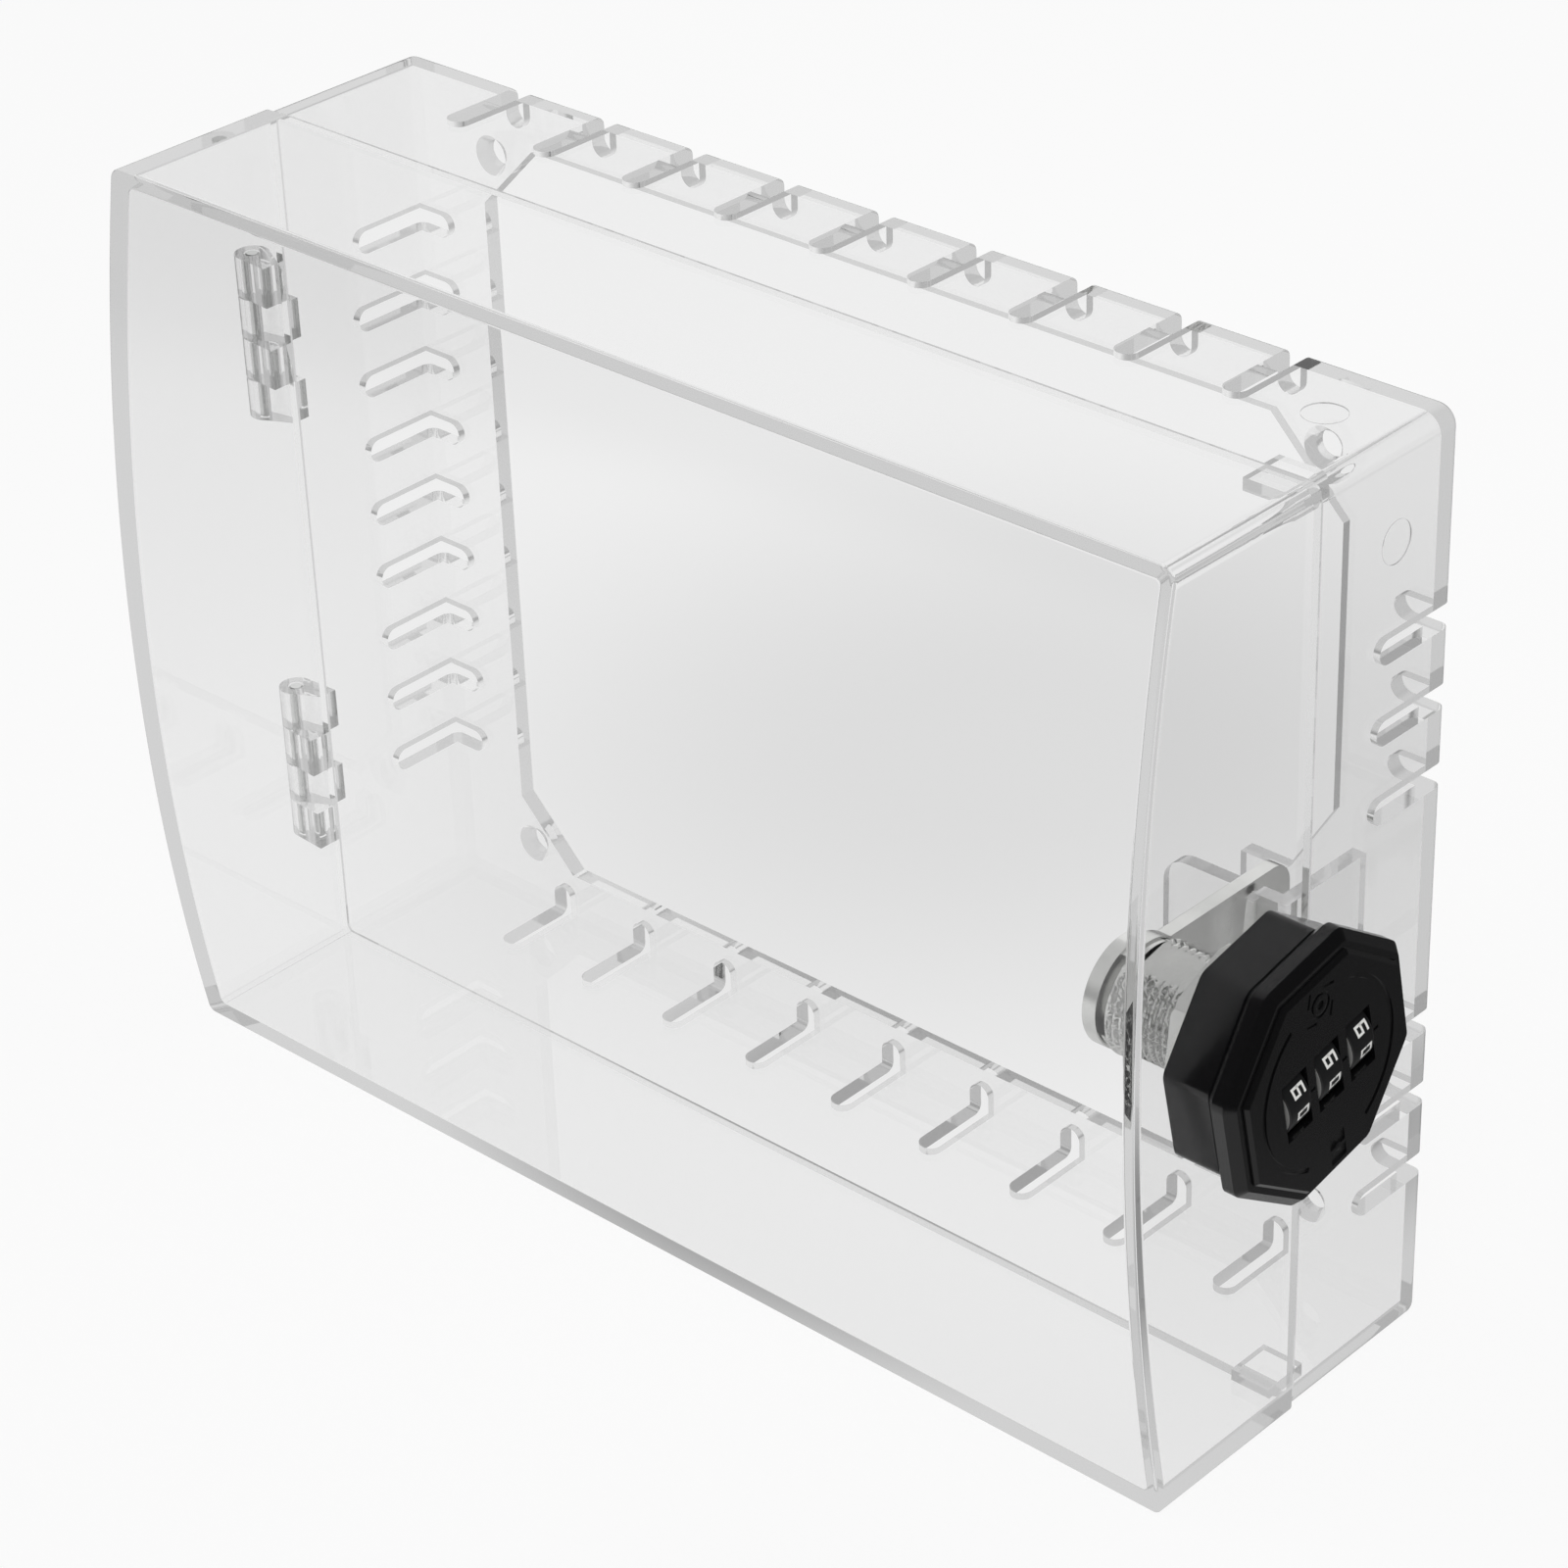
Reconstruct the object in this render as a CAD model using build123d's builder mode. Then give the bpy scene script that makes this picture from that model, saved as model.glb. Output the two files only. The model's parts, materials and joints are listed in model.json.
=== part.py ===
from build123d import *
import math
import os

os.makedirs("parts", exist_ok=True)

# Wall-mounted guard box for a thermostat, in millimetres.
# The origin is on the wall plane, in the middle of the four screw holes.
# X runs to the right, Y runs into the wall and Z runs up, so the box stands out along -Y.

# Overall box
box_width = 210.0
box_height = 156.0
base_depth = 31.5
cover_depth = 31.8
front_bow = 7.1
wall = 2.8
seam_gap = 0.4
corner_radius = 3.2
cover_corner_radius = 1.4
inner_corner_radius = 1.2
rear_edge_radius = 1.6
front_edge_radius = 0.5

# Fits
running_clearance = 0.05
part_gap = 0.3
fuse_overlap = 0.4

# Flange on the wall, its opening and its screw holes
side_flange = 18.7
end_flange = 11.0
opening_chamfer = 11.8
screw_inset_x = 21.0
screw_inset_z = 14.0
screw_hole_radius = 2.25
screw_sink_radius = 3.4

# Air slots, each of which runs from a side wall round the rear edge on to the flange
slot_width = 4.0
slot_reach = 16.8
slot_leg_ends = 7.5
slot_leg_sides = 9.5
end_slot_count = 9
end_slot_pitch = 19.4
left_slot_count = 9
left_slot_pitch = 12.0
right_slot_group = 3
right_slot_pitch = 13.0
right_slot_middle_z = -1.5
right_slot_start = 21.1

# Hinges on the left wall
hinge_offset = 6.4
hinge_length = 29.0
upper_hinge_z = 37.3
lower_hinge_z = -43.2
knuckle_count = 4
knuckle_radius = 2.9
pin_radius = 1.25
pin_end_round = 0.3
foot_depth = 3.3
knuckle_waist_angle = 50.0

# Locating tabs that stand forward of the base inside the right-hand corners of the cover
tab_length = 7.2
tab_thickness = 2.0
tab_reach = 3.0
tab_root = 5.0

# Shallow round moulding marks inside the top and right walls
mark_radius = 3.4
mark_depth = 0.25
mark_setback = 12.4
mark_from_right = 14.0
mark_from_top = 16.6

# Lock axis, which runs along X through the right wall of the cover
lock_setback = 13.6
lock_z = -3.1
lock_tilt = 11.5

# Threaded barrel and nut
barrel_radius = 8.9
barrel_flats = 15.6
barrel_hole_gap = 0.15
thread_depth = 0.6
thread_pitch = 1.25
thread_flank_share = 0.35
barrel_inside = 15.1
barrel_head_radius = 10.9
barrel_head_thickness = 0.8
stop_skirt_length = 1.1
stop_skirt_inner = 6.4
knob_travel = 90.0
nut_across_flats = 22.3
nut_thickness = 4.5
nut_chamfer = 0.7
nut_turn = 22.0
seal_radius = 11.8
seal_thickness = 0.3

# Octagonal collar that stays still and octagonal knob that turns
collar_wall = 2.1
collar_corner_radius = 2.4
collar_floor = 1.4
collar_edge = 0.5
knob_overhang = 1.7
knob_corner_radius = 2.6
knob_height = 4.5
knob_rear_bevel = 1.1
knob_front_bevel = 1.4
knob_skirt_wall = 1.4
knob_roof = 1.3
plate_inset = 2.5
plate_gap = 0.1
plate_thickness = 1.3
plate_stand = 0.9
plate_bevel = 0.5

# Number wheels
wheel_count = 3
wheel_radius = 6.4
wheel_width = 5.0
wheel_edge = 0.3
wheel_stand = 0.75
wheel_back_gap = 0.55
axle_radius = 1.25
sleeve_radius = 3.0
sleeve_flange_inset = 2.3
sleeve_flange_thickness = 0.8
gate_depth = 1.2
gate_width = 1.6
window_gap = 0.5
axle_support = 2.0
rib_thickness = 0.9
rib_half_height = 3.2
rib_below_axle = 1.9

# Marks on the face plate
arc_groove_inset = 2.9
arc_groove_width = 0.8
arc_groove_depth = 0.35
arc_groove_half_angle = 63.0
index_length = 1.1
index_width = 0.5
upper_emblem_inset = 4.5
lower_emblem_inset = 3.5
emblem_radius = 2.1
emblem_line = 0.5
emblem_dot_radius = 0.7
emblem_hook_place = 3.1
emblem_hook_length = 2.4
emblem_hook_slant = 25.0
lower_emblem_width = 3.4
lower_emblem_height = 5.0

# Locking bar, its springs and the click spring
bar_thickness = 1.4
bar_height = 2.5
bar_to_wheel = 1.2
bar_to_skirt = 0.13
bar_tail_width = 3.0
notch_width = 3.8
notch_depth = 1.0
bar_spring_radius = 1.0
bar_spring_wire = 0.35
bar_spring_turns = 5
click_to_wheel = 2.2
click_sheet = 0.3
click_half_width = 2.5
click_tongue_width = 3.0
click_tongue_section = 0.42

# Spindle and the pieces at its inner end
spindle_radius = 4.0
spindle_flange_inset = 0.9
spindle_flange_thickness = 1.2
spindle_neck_radius = 6.0
spindle_neck_gap = 0.1
spindle_square = 5.6
knob_screw_inset = 1.5
knob_screw_radius = 0.8
knob_screw_length = 6.0
knob_boss_radius = 2.0
knob_boss_gap = 0.26
stop_washer_thickness = 1.0
stop_washer_radius = 6.0
stop_ear_direction = 90.0
stop_ear_angle = 40.0
stop_slack = 2.0
hook_thickness = 2.5
hook_hub_radius = 8.7
hook_top = 7.2
hook_bottom = -6.5
hook_reach = 33.0
hook_tip_width = 6.7
hook_tip_bottom = -3.5
hook_slot_width = 3.9
hook_slot_top = 5.5
hook_slot_flare = 1.0
hook_corner = 4.0
cam_washer_radius = 6.2
cam_washer_thickness = 0.8
screw_radius = 2.0
screw_length = 10.4
screw_hole_spare = 1.6
screw_head_radius = 5.5
screw_rim_height = 0.97
screw_dome_height = 1.93
screw_slot_length = 6.6
screw_slot_width = 1.2
screw_slot_depth = 1.0

# Strike, a clear wall on the base that the hook drops over, and the tongue of flange below it
strike_wall = 2.5
strike_top_z = 3.0
strike_bottom_z = -16.0
strike_left = 35.0
strike_right = 12.5
strike_front = 10.7
strike_corner = 4.0
strike_floor = 2.2
strike_saddle_clearance = 0.9
tongue_left = 35.5
tongue_top_z = -5.5
tongue_neck = 27.1
tongue_rise = 14.0

# Places worked out from the sizes above
half_width = box_width / 2
half_height = box_height / 2
seam_y = -base_depth
base_front_y = seam_y + seam_gap / 2
cover_back_y = seam_y - seam_gap / 2
cover_front_y = seam_y - cover_depth
opening_width = box_width - 2 * side_flange
opening_height = box_height - 2 * end_flange
screw_spacing_x = box_width - 2 * screw_inset_x
screw_spacing_z = box_height - 2 * screw_inset_z
hinge_x = -half_width - hinge_offset
pin_bore = pin_radius + running_clearance
knuckle_length = hinge_length / knuckle_count
lock_y = seam_y - lock_setback
wall_inner_x = half_width - wall
barrel_bore = spindle_radius + running_clearance
barrel_tip_x = wall_inner_x - barrel_inside
wheel_pitch = wheel_width + sleeve_flange_thickness + rib_thickness + 2 * part_gap
row_half_length = (wheel_count - 1) / 2 * wheel_pitch + wheel_width / 2 + sleeve_flange_thickness
bar_half_length = row_half_length + 2 * part_gap
bar_from_axle = wheel_radius + bar_to_wheel
bar_outer = bar_from_axle + bar_thickness
click_from_axle = wheel_radius + click_to_wheel
sleeve_flange_radius = wheel_radius - sleeve_flange_inset
skirt_inner_radius = math.hypot(bar_half_length, bar_outer) + bar_to_skirt
skirt_outer_radius = skirt_inner_radius + knob_skirt_wall
collar_inner_radius = skirt_outer_radius + part_gap
collar_across_flats = 2 * (collar_inner_radius + collar_wall)
knob_across_flats = collar_across_flats + 2 * knob_overhang
plate_across_flats = knob_across_flats - 2 * plate_inset
spindle_flange_radius = collar_inner_radius - spindle_flange_inset
face_height = knob_height + plate_stand
collar_height = collar_floor + wheel_back_gap + 2 * wheel_radius - wheel_stand - face_height - part_gap
collar_back_x = half_width + seal_thickness
collar_front_x = collar_back_x + collar_height
floor_top_x = collar_back_x + collar_floor
head_back_x = floor_top_x - barrel_head_thickness
flange_back_x = floor_top_x + part_gap
flange_front_x = flange_back_x + spindle_flange_thickness
knob_back_x = collar_front_x + part_gap
knob_front_x = knob_back_x + knob_height
plate_front_x = knob_front_x + plate_stand
plate_back_x = plate_front_x - plate_thickness
roof_inner_x = plate_back_x - knob_roof
axle_x = plate_front_x + wheel_stand - wheel_radius
axle_bore = axle_radius + running_clearance
window_width = wheel_width + 2 * part_gap
window_height = 2 * (math.sqrt(wheel_radius**2 - (plate_back_x - axle_x) ** 2) + window_gap)
arc_groove_radius = plate_across_flats / 2 - arc_groove_inset
upper_emblem_offset = plate_across_flats / 2 - upper_emblem_inset
lower_emblem_offset = plate_across_flats / 2 - lower_emblem_inset
hook_front_x = barrel_tip_x - stop_skirt_length - part_gap
hook_back_x = hook_front_x - hook_thickness
washer_back_x = hook_back_x - cam_washer_thickness
strike_front_y = seam_y + strike_front
hook_slot_outer = hook_reach - hook_tip_width
hook_slot_inner = hook_slot_outer - hook_slot_width

lock_axis = Axis((0, lock_y, lock_z), (1, 0, 0))
row_direction = (0, math.cos(math.radians(lock_tilt)), math.sin(math.radians(lock_tilt)))


def lock_plane(x):
    """Plane square to the lock axis, with its own X along the row of number wheels."""
    return Plane(origin=(x, lock_y, lock_z), x_dir=row_direction, z_dir=(1, 0, 0))


def upright_plane(x):
    """Plane square to the lock axis, with its own X along Y and its own Y along Z."""
    return Plane(origin=(x, lock_y, lock_z), x_dir=(0, 1, 0), z_dir=(1, 0, 0))


def profile_plane():
    """Plane through the lock axis, with X along the axis and Y as the radius."""
    return Plane(origin=(0, lock_y, lock_z), x_dir=(1, 0, 0), z_dir=(0, -1, 0))


def row_plane(offset):
    """Plane square to the row of wheels at this distance from the lock axis.

    Its own X points up across the row and its own Y points out of the lock.
    """
    origin = (axle_x, lock_y + offset * row_direction[1], lock_z + offset * row_direction[2])
    across = (0, -row_direction[2], row_direction[1])
    return Plane(origin=origin, x_dir=across, z_dir=tuple(-value for value in row_direction))


def octagon(across_flats, corner=0):
    outline = RegularPolygon(across_flats / 2, 8, major_radius=False, rotation=22.5)
    if corner:
        fillet(outline.vertices(), corner)


def pattern(count, pitch):
    """Evenly spaced places about zero."""
    return [(index - (count - 1) / 2) * pitch for index in range(count)]


def cover_outline(half, back_y, front_y, bow):
    """Side view of the cover: flat walls and an arched front."""
    with BuildLine() as outline:
        Polyline((front_y, -half), (back_y, -half), (back_y, half), (front_y, half))
        ThreePointArc((front_y, half), (front_y - bow, 0), (front_y, -half))
    make_face(outline.edges())


def cut_slots(places, wall_plane, flange_edge, leg, along_z):
    """Cut wall slots and their legs on the flange, one for each place along the rear edge."""
    turn = 0 if along_z else 90
    wall_spots = [(0, place) if along_z else (place, 0) for place in places]
    flange_spots = [(flange_edge, place) if along_z else (place, flange_edge) for place in places]
    with BuildSketch(wall_plane) as wall_slots:
        with Locations(*wall_spots):
            SlotOverall(2 * slot_reach, slot_width, rotation=turn)
    extrude(wall_slots.sketch, amount=wall, mode=Mode.SUBTRACT)
    with BuildSketch(Plane.XZ) as flange_slots:
        with Locations(*flange_spots):
            SlotOverall(2 * leg, slot_width, rotation=turn)
    extrude(flange_slots.sketch, amount=wall, mode=Mode.SUBTRACT)


def knuckles(centre_z, ranks, side):
    """Knuckles of one hinge, counted from its top, with feet on the +Y or -Y side of the seam."""
    waist = math.radians(knuckle_waist_angle)
    waist_x = hinge_x + knuckle_radius * math.cos(waist)
    waist_y = seam_y - side * knuckle_radius * math.sin(waist)
    wall_x = -half_width + fuse_overlap
    foot_near = seam_y + side * (seam_gap / 2 + running_clearance)
    foot_far = seam_y + side * foot_depth
    for rank in ranks:
        top = centre_z + hinge_length / 2 - rank * knuckle_length - part_gap / 2
        with BuildSketch(Plane.XY.offset(top)) as knuckle:
            with Locations((hinge_x, seam_y)):
                Circle(knuckle_radius)
            with BuildLine():
                Polyline(
                    (hinge_x, seam_y + side * knuckle_radius),
                    (wall_x, foot_far),
                    (wall_x, foot_near),
                    (waist_x, waist_y),
                    (hinge_x, seam_y),
                    close=True,
                )
            make_face()
        extrude(knuckle.sketch, amount=-(knuckle_length - part_gap))


def bore_hinges():
    for centre_z in (upper_hinge_z, lower_hinge_z):
        with BuildSketch(Plane.XY.offset(centre_z - hinge_length / 2)) as bore:
            with Locations((hinge_x, seam_y)):
                Circle(pin_bore)
        extrude(bore.sketch, amount=hinge_length, mode=Mode.SUBTRACT)


# Base shell: a frame of four walls with a flange against the wall of the room
with BuildPart() as base_shell:
    with BuildSketch(Plane.XZ):
        RectangleRounded(box_width, box_height, corner_radius)
    extrude(amount=base_depth - seam_gap / 2)
    fillet(base_shell.faces().sort_by(Axis.Y)[-1].edges(), rear_edge_radius)
    with BuildSketch(Plane.XZ.offset(wall)):
        RectangleRounded(box_width - 2 * wall, box_height - 2 * wall, inner_corner_radius)
    extrude(amount=base_depth, mode=Mode.SUBTRACT)
    with BuildSketch(Plane.XZ) as opening:
        Rectangle(opening_width, opening_height)
        chamfer(opening.vertices(), opening_chamfer)
        tongue_root_x = opening_width / 2 + fuse_overlap
        with BuildLine():
            Polyline(
                (tongue_root_x, tongue_top_z + tongue_rise),
                (half_width - tongue_neck, tongue_top_z),
                (half_width - tongue_left, tongue_top_z),
                (half_width - tongue_left, strike_bottom_z),
                (half_width - tongue_neck, strike_bottom_z),
                (tongue_root_x, strike_bottom_z - tongue_rise),
                close=True,
            )
        make_face(mode=Mode.SUBTRACT)
    extrude(amount=wall, mode=Mode.SUBTRACT)

    end_places = pattern(end_slot_count, end_slot_pitch)
    left_places = pattern(left_slot_count, left_slot_pitch)
    right_steps = [right_slot_start + index * right_slot_pitch for index in range(right_slot_group)]
    right_places = [right_slot_middle_z + sign * step for sign in (1, -1) for step in right_steps]
    cut_slots(end_places, Plane.XY.offset(half_height - wall), half_height, slot_leg_ends, False)
    cut_slots(end_places, Plane.XY.offset(-half_height), -half_height, slot_leg_ends, False)
    cut_slots(left_places, Plane.YZ.offset(-half_width), -half_width, slot_leg_sides, True)
    cut_slots(right_places, Plane.YZ.offset(wall_inner_x), half_width, slot_leg_sides, True)

    # Screw holes, eased on the room side
    with Locations(Plane.XZ.offset(wall)):
        with GridLocations(screw_spacing_x, screw_spacing_z, 2, 2):
            CounterSinkHole(screw_hole_radius, screw_sink_radius, depth=wall)

    # Strike: front wall with a rounded corner and a saddle for the hook, side wall and floor
    strike_left_x = half_width - strike_left
    strike_right_x = half_width - strike_right
    strike_height = strike_top_z - strike_bottom_z
    with BuildSketch(Plane.XZ.offset(-strike_front_y - strike_wall / 2)):
        with Locations((strike_left_x, strike_bottom_z)):
            Rectangle(strike_left - strike_right, strike_height, align=Align.MIN)
        with Locations((strike_left_x, strike_top_z)):
            Rectangle(2 * strike_corner, 2 * strike_corner, mode=Mode.SUBTRACT)
        with Locations((strike_left_x + strike_corner, strike_top_z - strike_corner)):
            Circle(strike_corner)
    extrude(amount=strike_wall)
    saddle_top = lock_z + hook_slot_top - strike_saddle_clearance
    with BuildSketch(Plane.XY.offset(saddle_top)):
        with Locations(((hook_front_x + hook_back_x) / 2, strike_front_y)):
            Rectangle(hook_thickness + 2 * strike_saddle_clearance, 2 * strike_wall)
    extrude(amount=strike_top_z, mode=Mode.SUBTRACT)
    strike_depth = -strike_front_y - wall / 2
    strike_middle_y = -(strike_depth + wall) / 2
    with Locations((strike_right_x - strike_wall / 2, strike_middle_y, strike_bottom_z + strike_height / 2)):
        Box(strike_wall, strike_depth, strike_height)
    strike_middle_x = (strike_left_x + strike_right_x) / 2
    with Locations((strike_middle_x, strike_middle_y, strike_bottom_z + strike_floor / 2)):
        Box(strike_left - strike_right, strike_depth, strike_floor)

    # Hinge knuckles: second and fourth of the upper hinge, first and third of the lower one
    knuckles(upper_hinge_z, (1, 3), 1)
    knuckles(lower_hinge_z, (0, 2), 1)
    bore_hinges()

    # Locating tabs at the top right and bottom right corners
    tab_x = wall_inner_x - inner_corner_radius - tab_length / 2
    for side in (1, -1):
        inner_z = side * (half_height - wall)
        root_z = inner_z - side * (tab_thickness + part_gap - fuse_overlap) / 2
        nose_z = inner_z - side * (part_gap + tab_thickness / 2)
        with Locations((tab_x, base_front_y + tab_root / 2, root_z)):
            Box(tab_length, tab_root, tab_thickness + part_gap + fuse_overlap)
        with Locations((tab_x, base_front_y - tab_reach / 2, nose_z)):
            Box(tab_length, tab_reach, tab_thickness)

    # Moulding marks
    with BuildSketch(Plane.XY.offset(half_height - wall)):
        with Locations((half_width - mark_from_right, -mark_setback)):
            Circle(mark_radius)
    extrude(amount=mark_depth, mode=Mode.SUBTRACT)
    with BuildSketch(Plane.YZ.offset(wall_inner_x)):
        with Locations((-mark_setback, half_height - mark_from_top)):
            Circle(mark_radius)
    extrude(amount=mark_depth, mode=Mode.SUBTRACT)
base_shell.part.label = "base_shell"
export_step(base_shell.part, "parts/base_shell.step")


# Cover shell: four walls and a front that is arched from top to bottom
outer_arch = (half_height**2 + front_bow**2) / (2 * front_bow)
inner_arch = outer_arch - wall
arch_centre_y = cover_front_y - front_bow + outer_arch
inner_half = half_height - wall
inner_front_y = arch_centre_y - math.sqrt(inner_arch**2 - inner_half**2)
inner_bow = inner_front_y - (cover_front_y - front_bow + wall)

with BuildPart() as cover_cavity:
    with BuildSketch(Plane.YZ.offset(-half_width + wall)):
        cover_outline(inner_half, cover_back_y + wall, inner_front_y, inner_bow)
    extrude(amount=box_width - 2 * wall)
    fillet(cover_cavity.edges().filter_by(Axis.Y), inner_corner_radius)

with BuildPart() as cover_shell:
    with BuildSketch(Plane.YZ.offset(-half_width)):
        cover_outline(half_height, cover_back_y, cover_front_y, front_bow)
    extrude(amount=box_width)
    fillet(cover_shell.edges().filter_by(Axis.Y), cover_corner_radius)
    fillet(cover_shell.faces().sort_by(Axis.Y)[0].edges(), front_edge_radius)
    add(cover_cavity.part, mode=Mode.SUBTRACT)
    with BuildSketch(lock_plane(wall_inner_x)):
        Circle(barrel_radius + barrel_hole_gap)
        Rectangle(4 * barrel_radius, barrel_flats + 2 * barrel_hole_gap, mode=Mode.INTERSECT)
    extrude(amount=wall, mode=Mode.SUBTRACT)
    knuckles(upper_hinge_z, (0, 2), -1)
    knuckles(lower_hinge_z, (1, 3), -1)
    bore_hinges()
cover_shell.part.label = "cover_shell"
export_step(cover_shell.part, "parts/cover_shell.step")


# Hinge pins
with BuildPart() as upper_hinge_pin:
    with BuildSketch(Plane.XY.offset(upper_hinge_z - hinge_length / 2 + part_gap / 2)):
        with Locations((hinge_x, seam_y)):
            Circle(pin_radius)
    extrude(amount=hinge_length - part_gap)
    chamfer(upper_hinge_pin.edges().filter_by(GeomType.CIRCLE), pin_end_round)
upper_hinge_pin.part.label = "upper_hinge_pin"
export_step(upper_hinge_pin.part, "parts/upper_hinge_pin.step")

with BuildPart() as lower_hinge_pin:
    with BuildSketch(Plane.XY.offset(lower_hinge_z - hinge_length / 2 + part_gap / 2)):
        with Locations((hinge_x, seam_y)):
            Circle(pin_radius)
    extrude(amount=hinge_length - part_gap)
    chamfer(lower_hinge_pin.edges().filter_by(GeomType.CIRCLE), pin_end_round)
lower_hinge_pin.part.label = "lower_hinge_pin"
export_step(lower_hinge_pin.part, "parts/lower_hinge_pin.step")


# Threaded barrel: the thread is drawn as rings between two flats
thread_end_x = half_width - wall / 2
thread_rings = int((thread_end_x - barrel_tip_x) / thread_pitch)
thread_flank = thread_flank_share * thread_pitch
root_radius = barrel_radius - thread_depth
with BuildPart() as lock_barrel:
    with BuildSketch(profile_plane()):
        with BuildLine():
            outline = [(barrel_tip_x, barrel_bore), (barrel_tip_x, root_radius)]
            for ring in range(thread_rings):
                ring_x = barrel_tip_x + ring * thread_pitch
                outline.append((ring_x + thread_flank, barrel_radius))
                outline.append((ring_x + thread_pitch - thread_flank, barrel_radius))
                outline.append((ring_x + thread_pitch, root_radius))
            outline.append((thread_end_x, barrel_radius))
            outline.append((head_back_x, barrel_radius))
            outline.append((head_back_x, barrel_bore))
            Polyline(*outline, close=True)
        make_face()
    revolve(axis=lock_axis)
    with BuildSketch(lock_plane(barrel_tip_x)):
        Rectangle(2 * barrel_radius, 2 * barrel_radius)
        Rectangle(2 * barrel_radius, barrel_flats, mode=Mode.SUBTRACT)
    extrude(amount=head_back_x - barrel_tip_x, mode=Mode.SUBTRACT)
    with BuildSketch(lock_plane(head_back_x)):
        Circle(barrel_head_radius)
        Circle(barrel_bore, mode=Mode.SUBTRACT)
    extrude(amount=barrel_head_thickness)
    with BuildSketch(lock_plane(head_back_x)):
        Circle(spindle_neck_radius + spindle_neck_gap)
    extrude(amount=barrel_head_thickness, mode=Mode.SUBTRACT)

    # Skirt at the inner end, cut away where the ear of the stop washer travels
    free_half = (stop_ear_angle + knob_travel) / 2 + stop_slack
    free_middle = stop_ear_direction + knob_travel / 2
    with BuildSketch(upright_plane(barrel_tip_x)):
        Circle(root_radius)
        Rectangle(2 * barrel_radius, 2 * barrel_radius, mode=Mode.INTERSECT)
        Circle(stop_skirt_inner, mode=Mode.SUBTRACT)
        with BuildLine():
            far = 2 * barrel_radius
            spread = [free_middle - free_half, free_middle, free_middle + free_half]
            ends = [(far * math.cos(math.radians(a)), far * math.sin(math.radians(a))) for a in spread]
            Polyline((0, 0), *ends, close=True)
        make_face(mode=Mode.SUBTRACT)
    extrude(amount=-stop_skirt_length)
lock_barrel.part.label = "lock_barrel"
export_step(lock_barrel.part, "parts/lock_barrel.step")


# Hexagonal nut against the inner face of the cover's wall
with BuildPart() as lock_nut:
    with BuildSketch(upright_plane(wall_inner_x - nut_thickness)):
        RegularPolygon(nut_across_flats / 2, 6, major_radius=False, rotation=nut_turn)
        Circle(barrel_radius + running_clearance, mode=Mode.SUBTRACT)
    extrude(amount=nut_thickness)
    nut_corner = nut_across_flats / math.sqrt(3)
    with BuildSketch(profile_plane()):
        with BuildLine():
            nut_front = wall_inner_x - nut_thickness
            Polyline(
                (nut_front, nut_corner - nut_chamfer),
                (nut_front, nut_corner + nut_chamfer),
                (nut_front + nut_chamfer, nut_corner + nut_chamfer),
                (nut_front + nut_chamfer, nut_corner),
                close=True,
            )
        make_face()
    revolve(axis=lock_axis, mode=Mode.SUBTRACT)
lock_nut.part.label = "lock_nut"
export_step(lock_nut.part, "parts/lock_nut.step")


# Thin seal between the collar and the outer face of the cover's wall
with BuildPart() as collar_seal:
    with BuildSketch(lock_plane(half_width)):
        Circle(seal_radius)
        Circle(barrel_radius + running_clearance, mode=Mode.SUBTRACT)
    extrude(amount=seal_thickness)
collar_seal.part.label = "collar_seal"
export_step(collar_seal.part, "parts/collar_seal.step")


# Collar: fixed octagonal ring under the knob, clamped by the barrel's head
with BuildPart() as lock_collar:
    with BuildSketch(lock_plane(collar_back_x)):
        octagon(collar_across_flats, collar_corner_radius)
    extrude(amount=collar_height)
    chamfer(lock_collar.faces().sort_by(Axis.X)[-1].edges(), collar_edge)
    with BuildSketch(lock_plane(floor_top_x)):
        Circle(collar_inner_radius)
        with Locations((0, -collar_inner_radius)):
            Rectangle(notch_width, 2 * notch_depth)
    extrude(amount=collar_height, mode=Mode.SUBTRACT)
    with BuildSketch(lock_plane(collar_back_x)):
        Circle(barrel_radius + running_clearance)
    extrude(amount=collar_height, mode=Mode.SUBTRACT)
    with BuildSketch(lock_plane(head_back_x)):
        Circle(barrel_head_radius + running_clearance)
    extrude(amount=collar_height, mode=Mode.SUBTRACT)
lock_collar.part.label = "lock_collar"
export_step(lock_collar.part, "parts/lock_collar.step")


# Knob housing: octagonal head with a round skirt inside the collar
row_places = pattern(wheel_count, wheel_pitch)
row_start = row_places[0] - wheel_width / 2
row_end = row_places[-1] + wheel_width / 2 + sleeve_flange_thickness
rib_gap_middle = (wheel_width / 2 + sleeve_flange_thickness + wheel_pitch - wheel_width / 2) / 2
rib_places = [place + rib_gap_middle for place in row_places[:-1]]
screw_across = bar_outer + knob_boss_gap + knob_boss_radius
screw_along = math.sqrt((skirt_inner_radius - knob_screw_inset) ** 2 - screw_across**2)
bar_spring_offset = screw_along - knob_boss_radius - part_gap - bar_spring_radius
screw_spots = [(side * screw_along, end * screw_across) for side in (1, -1) for end in (1, -1)]
wheel_spots = [(place, 0) for place in row_places]

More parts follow.
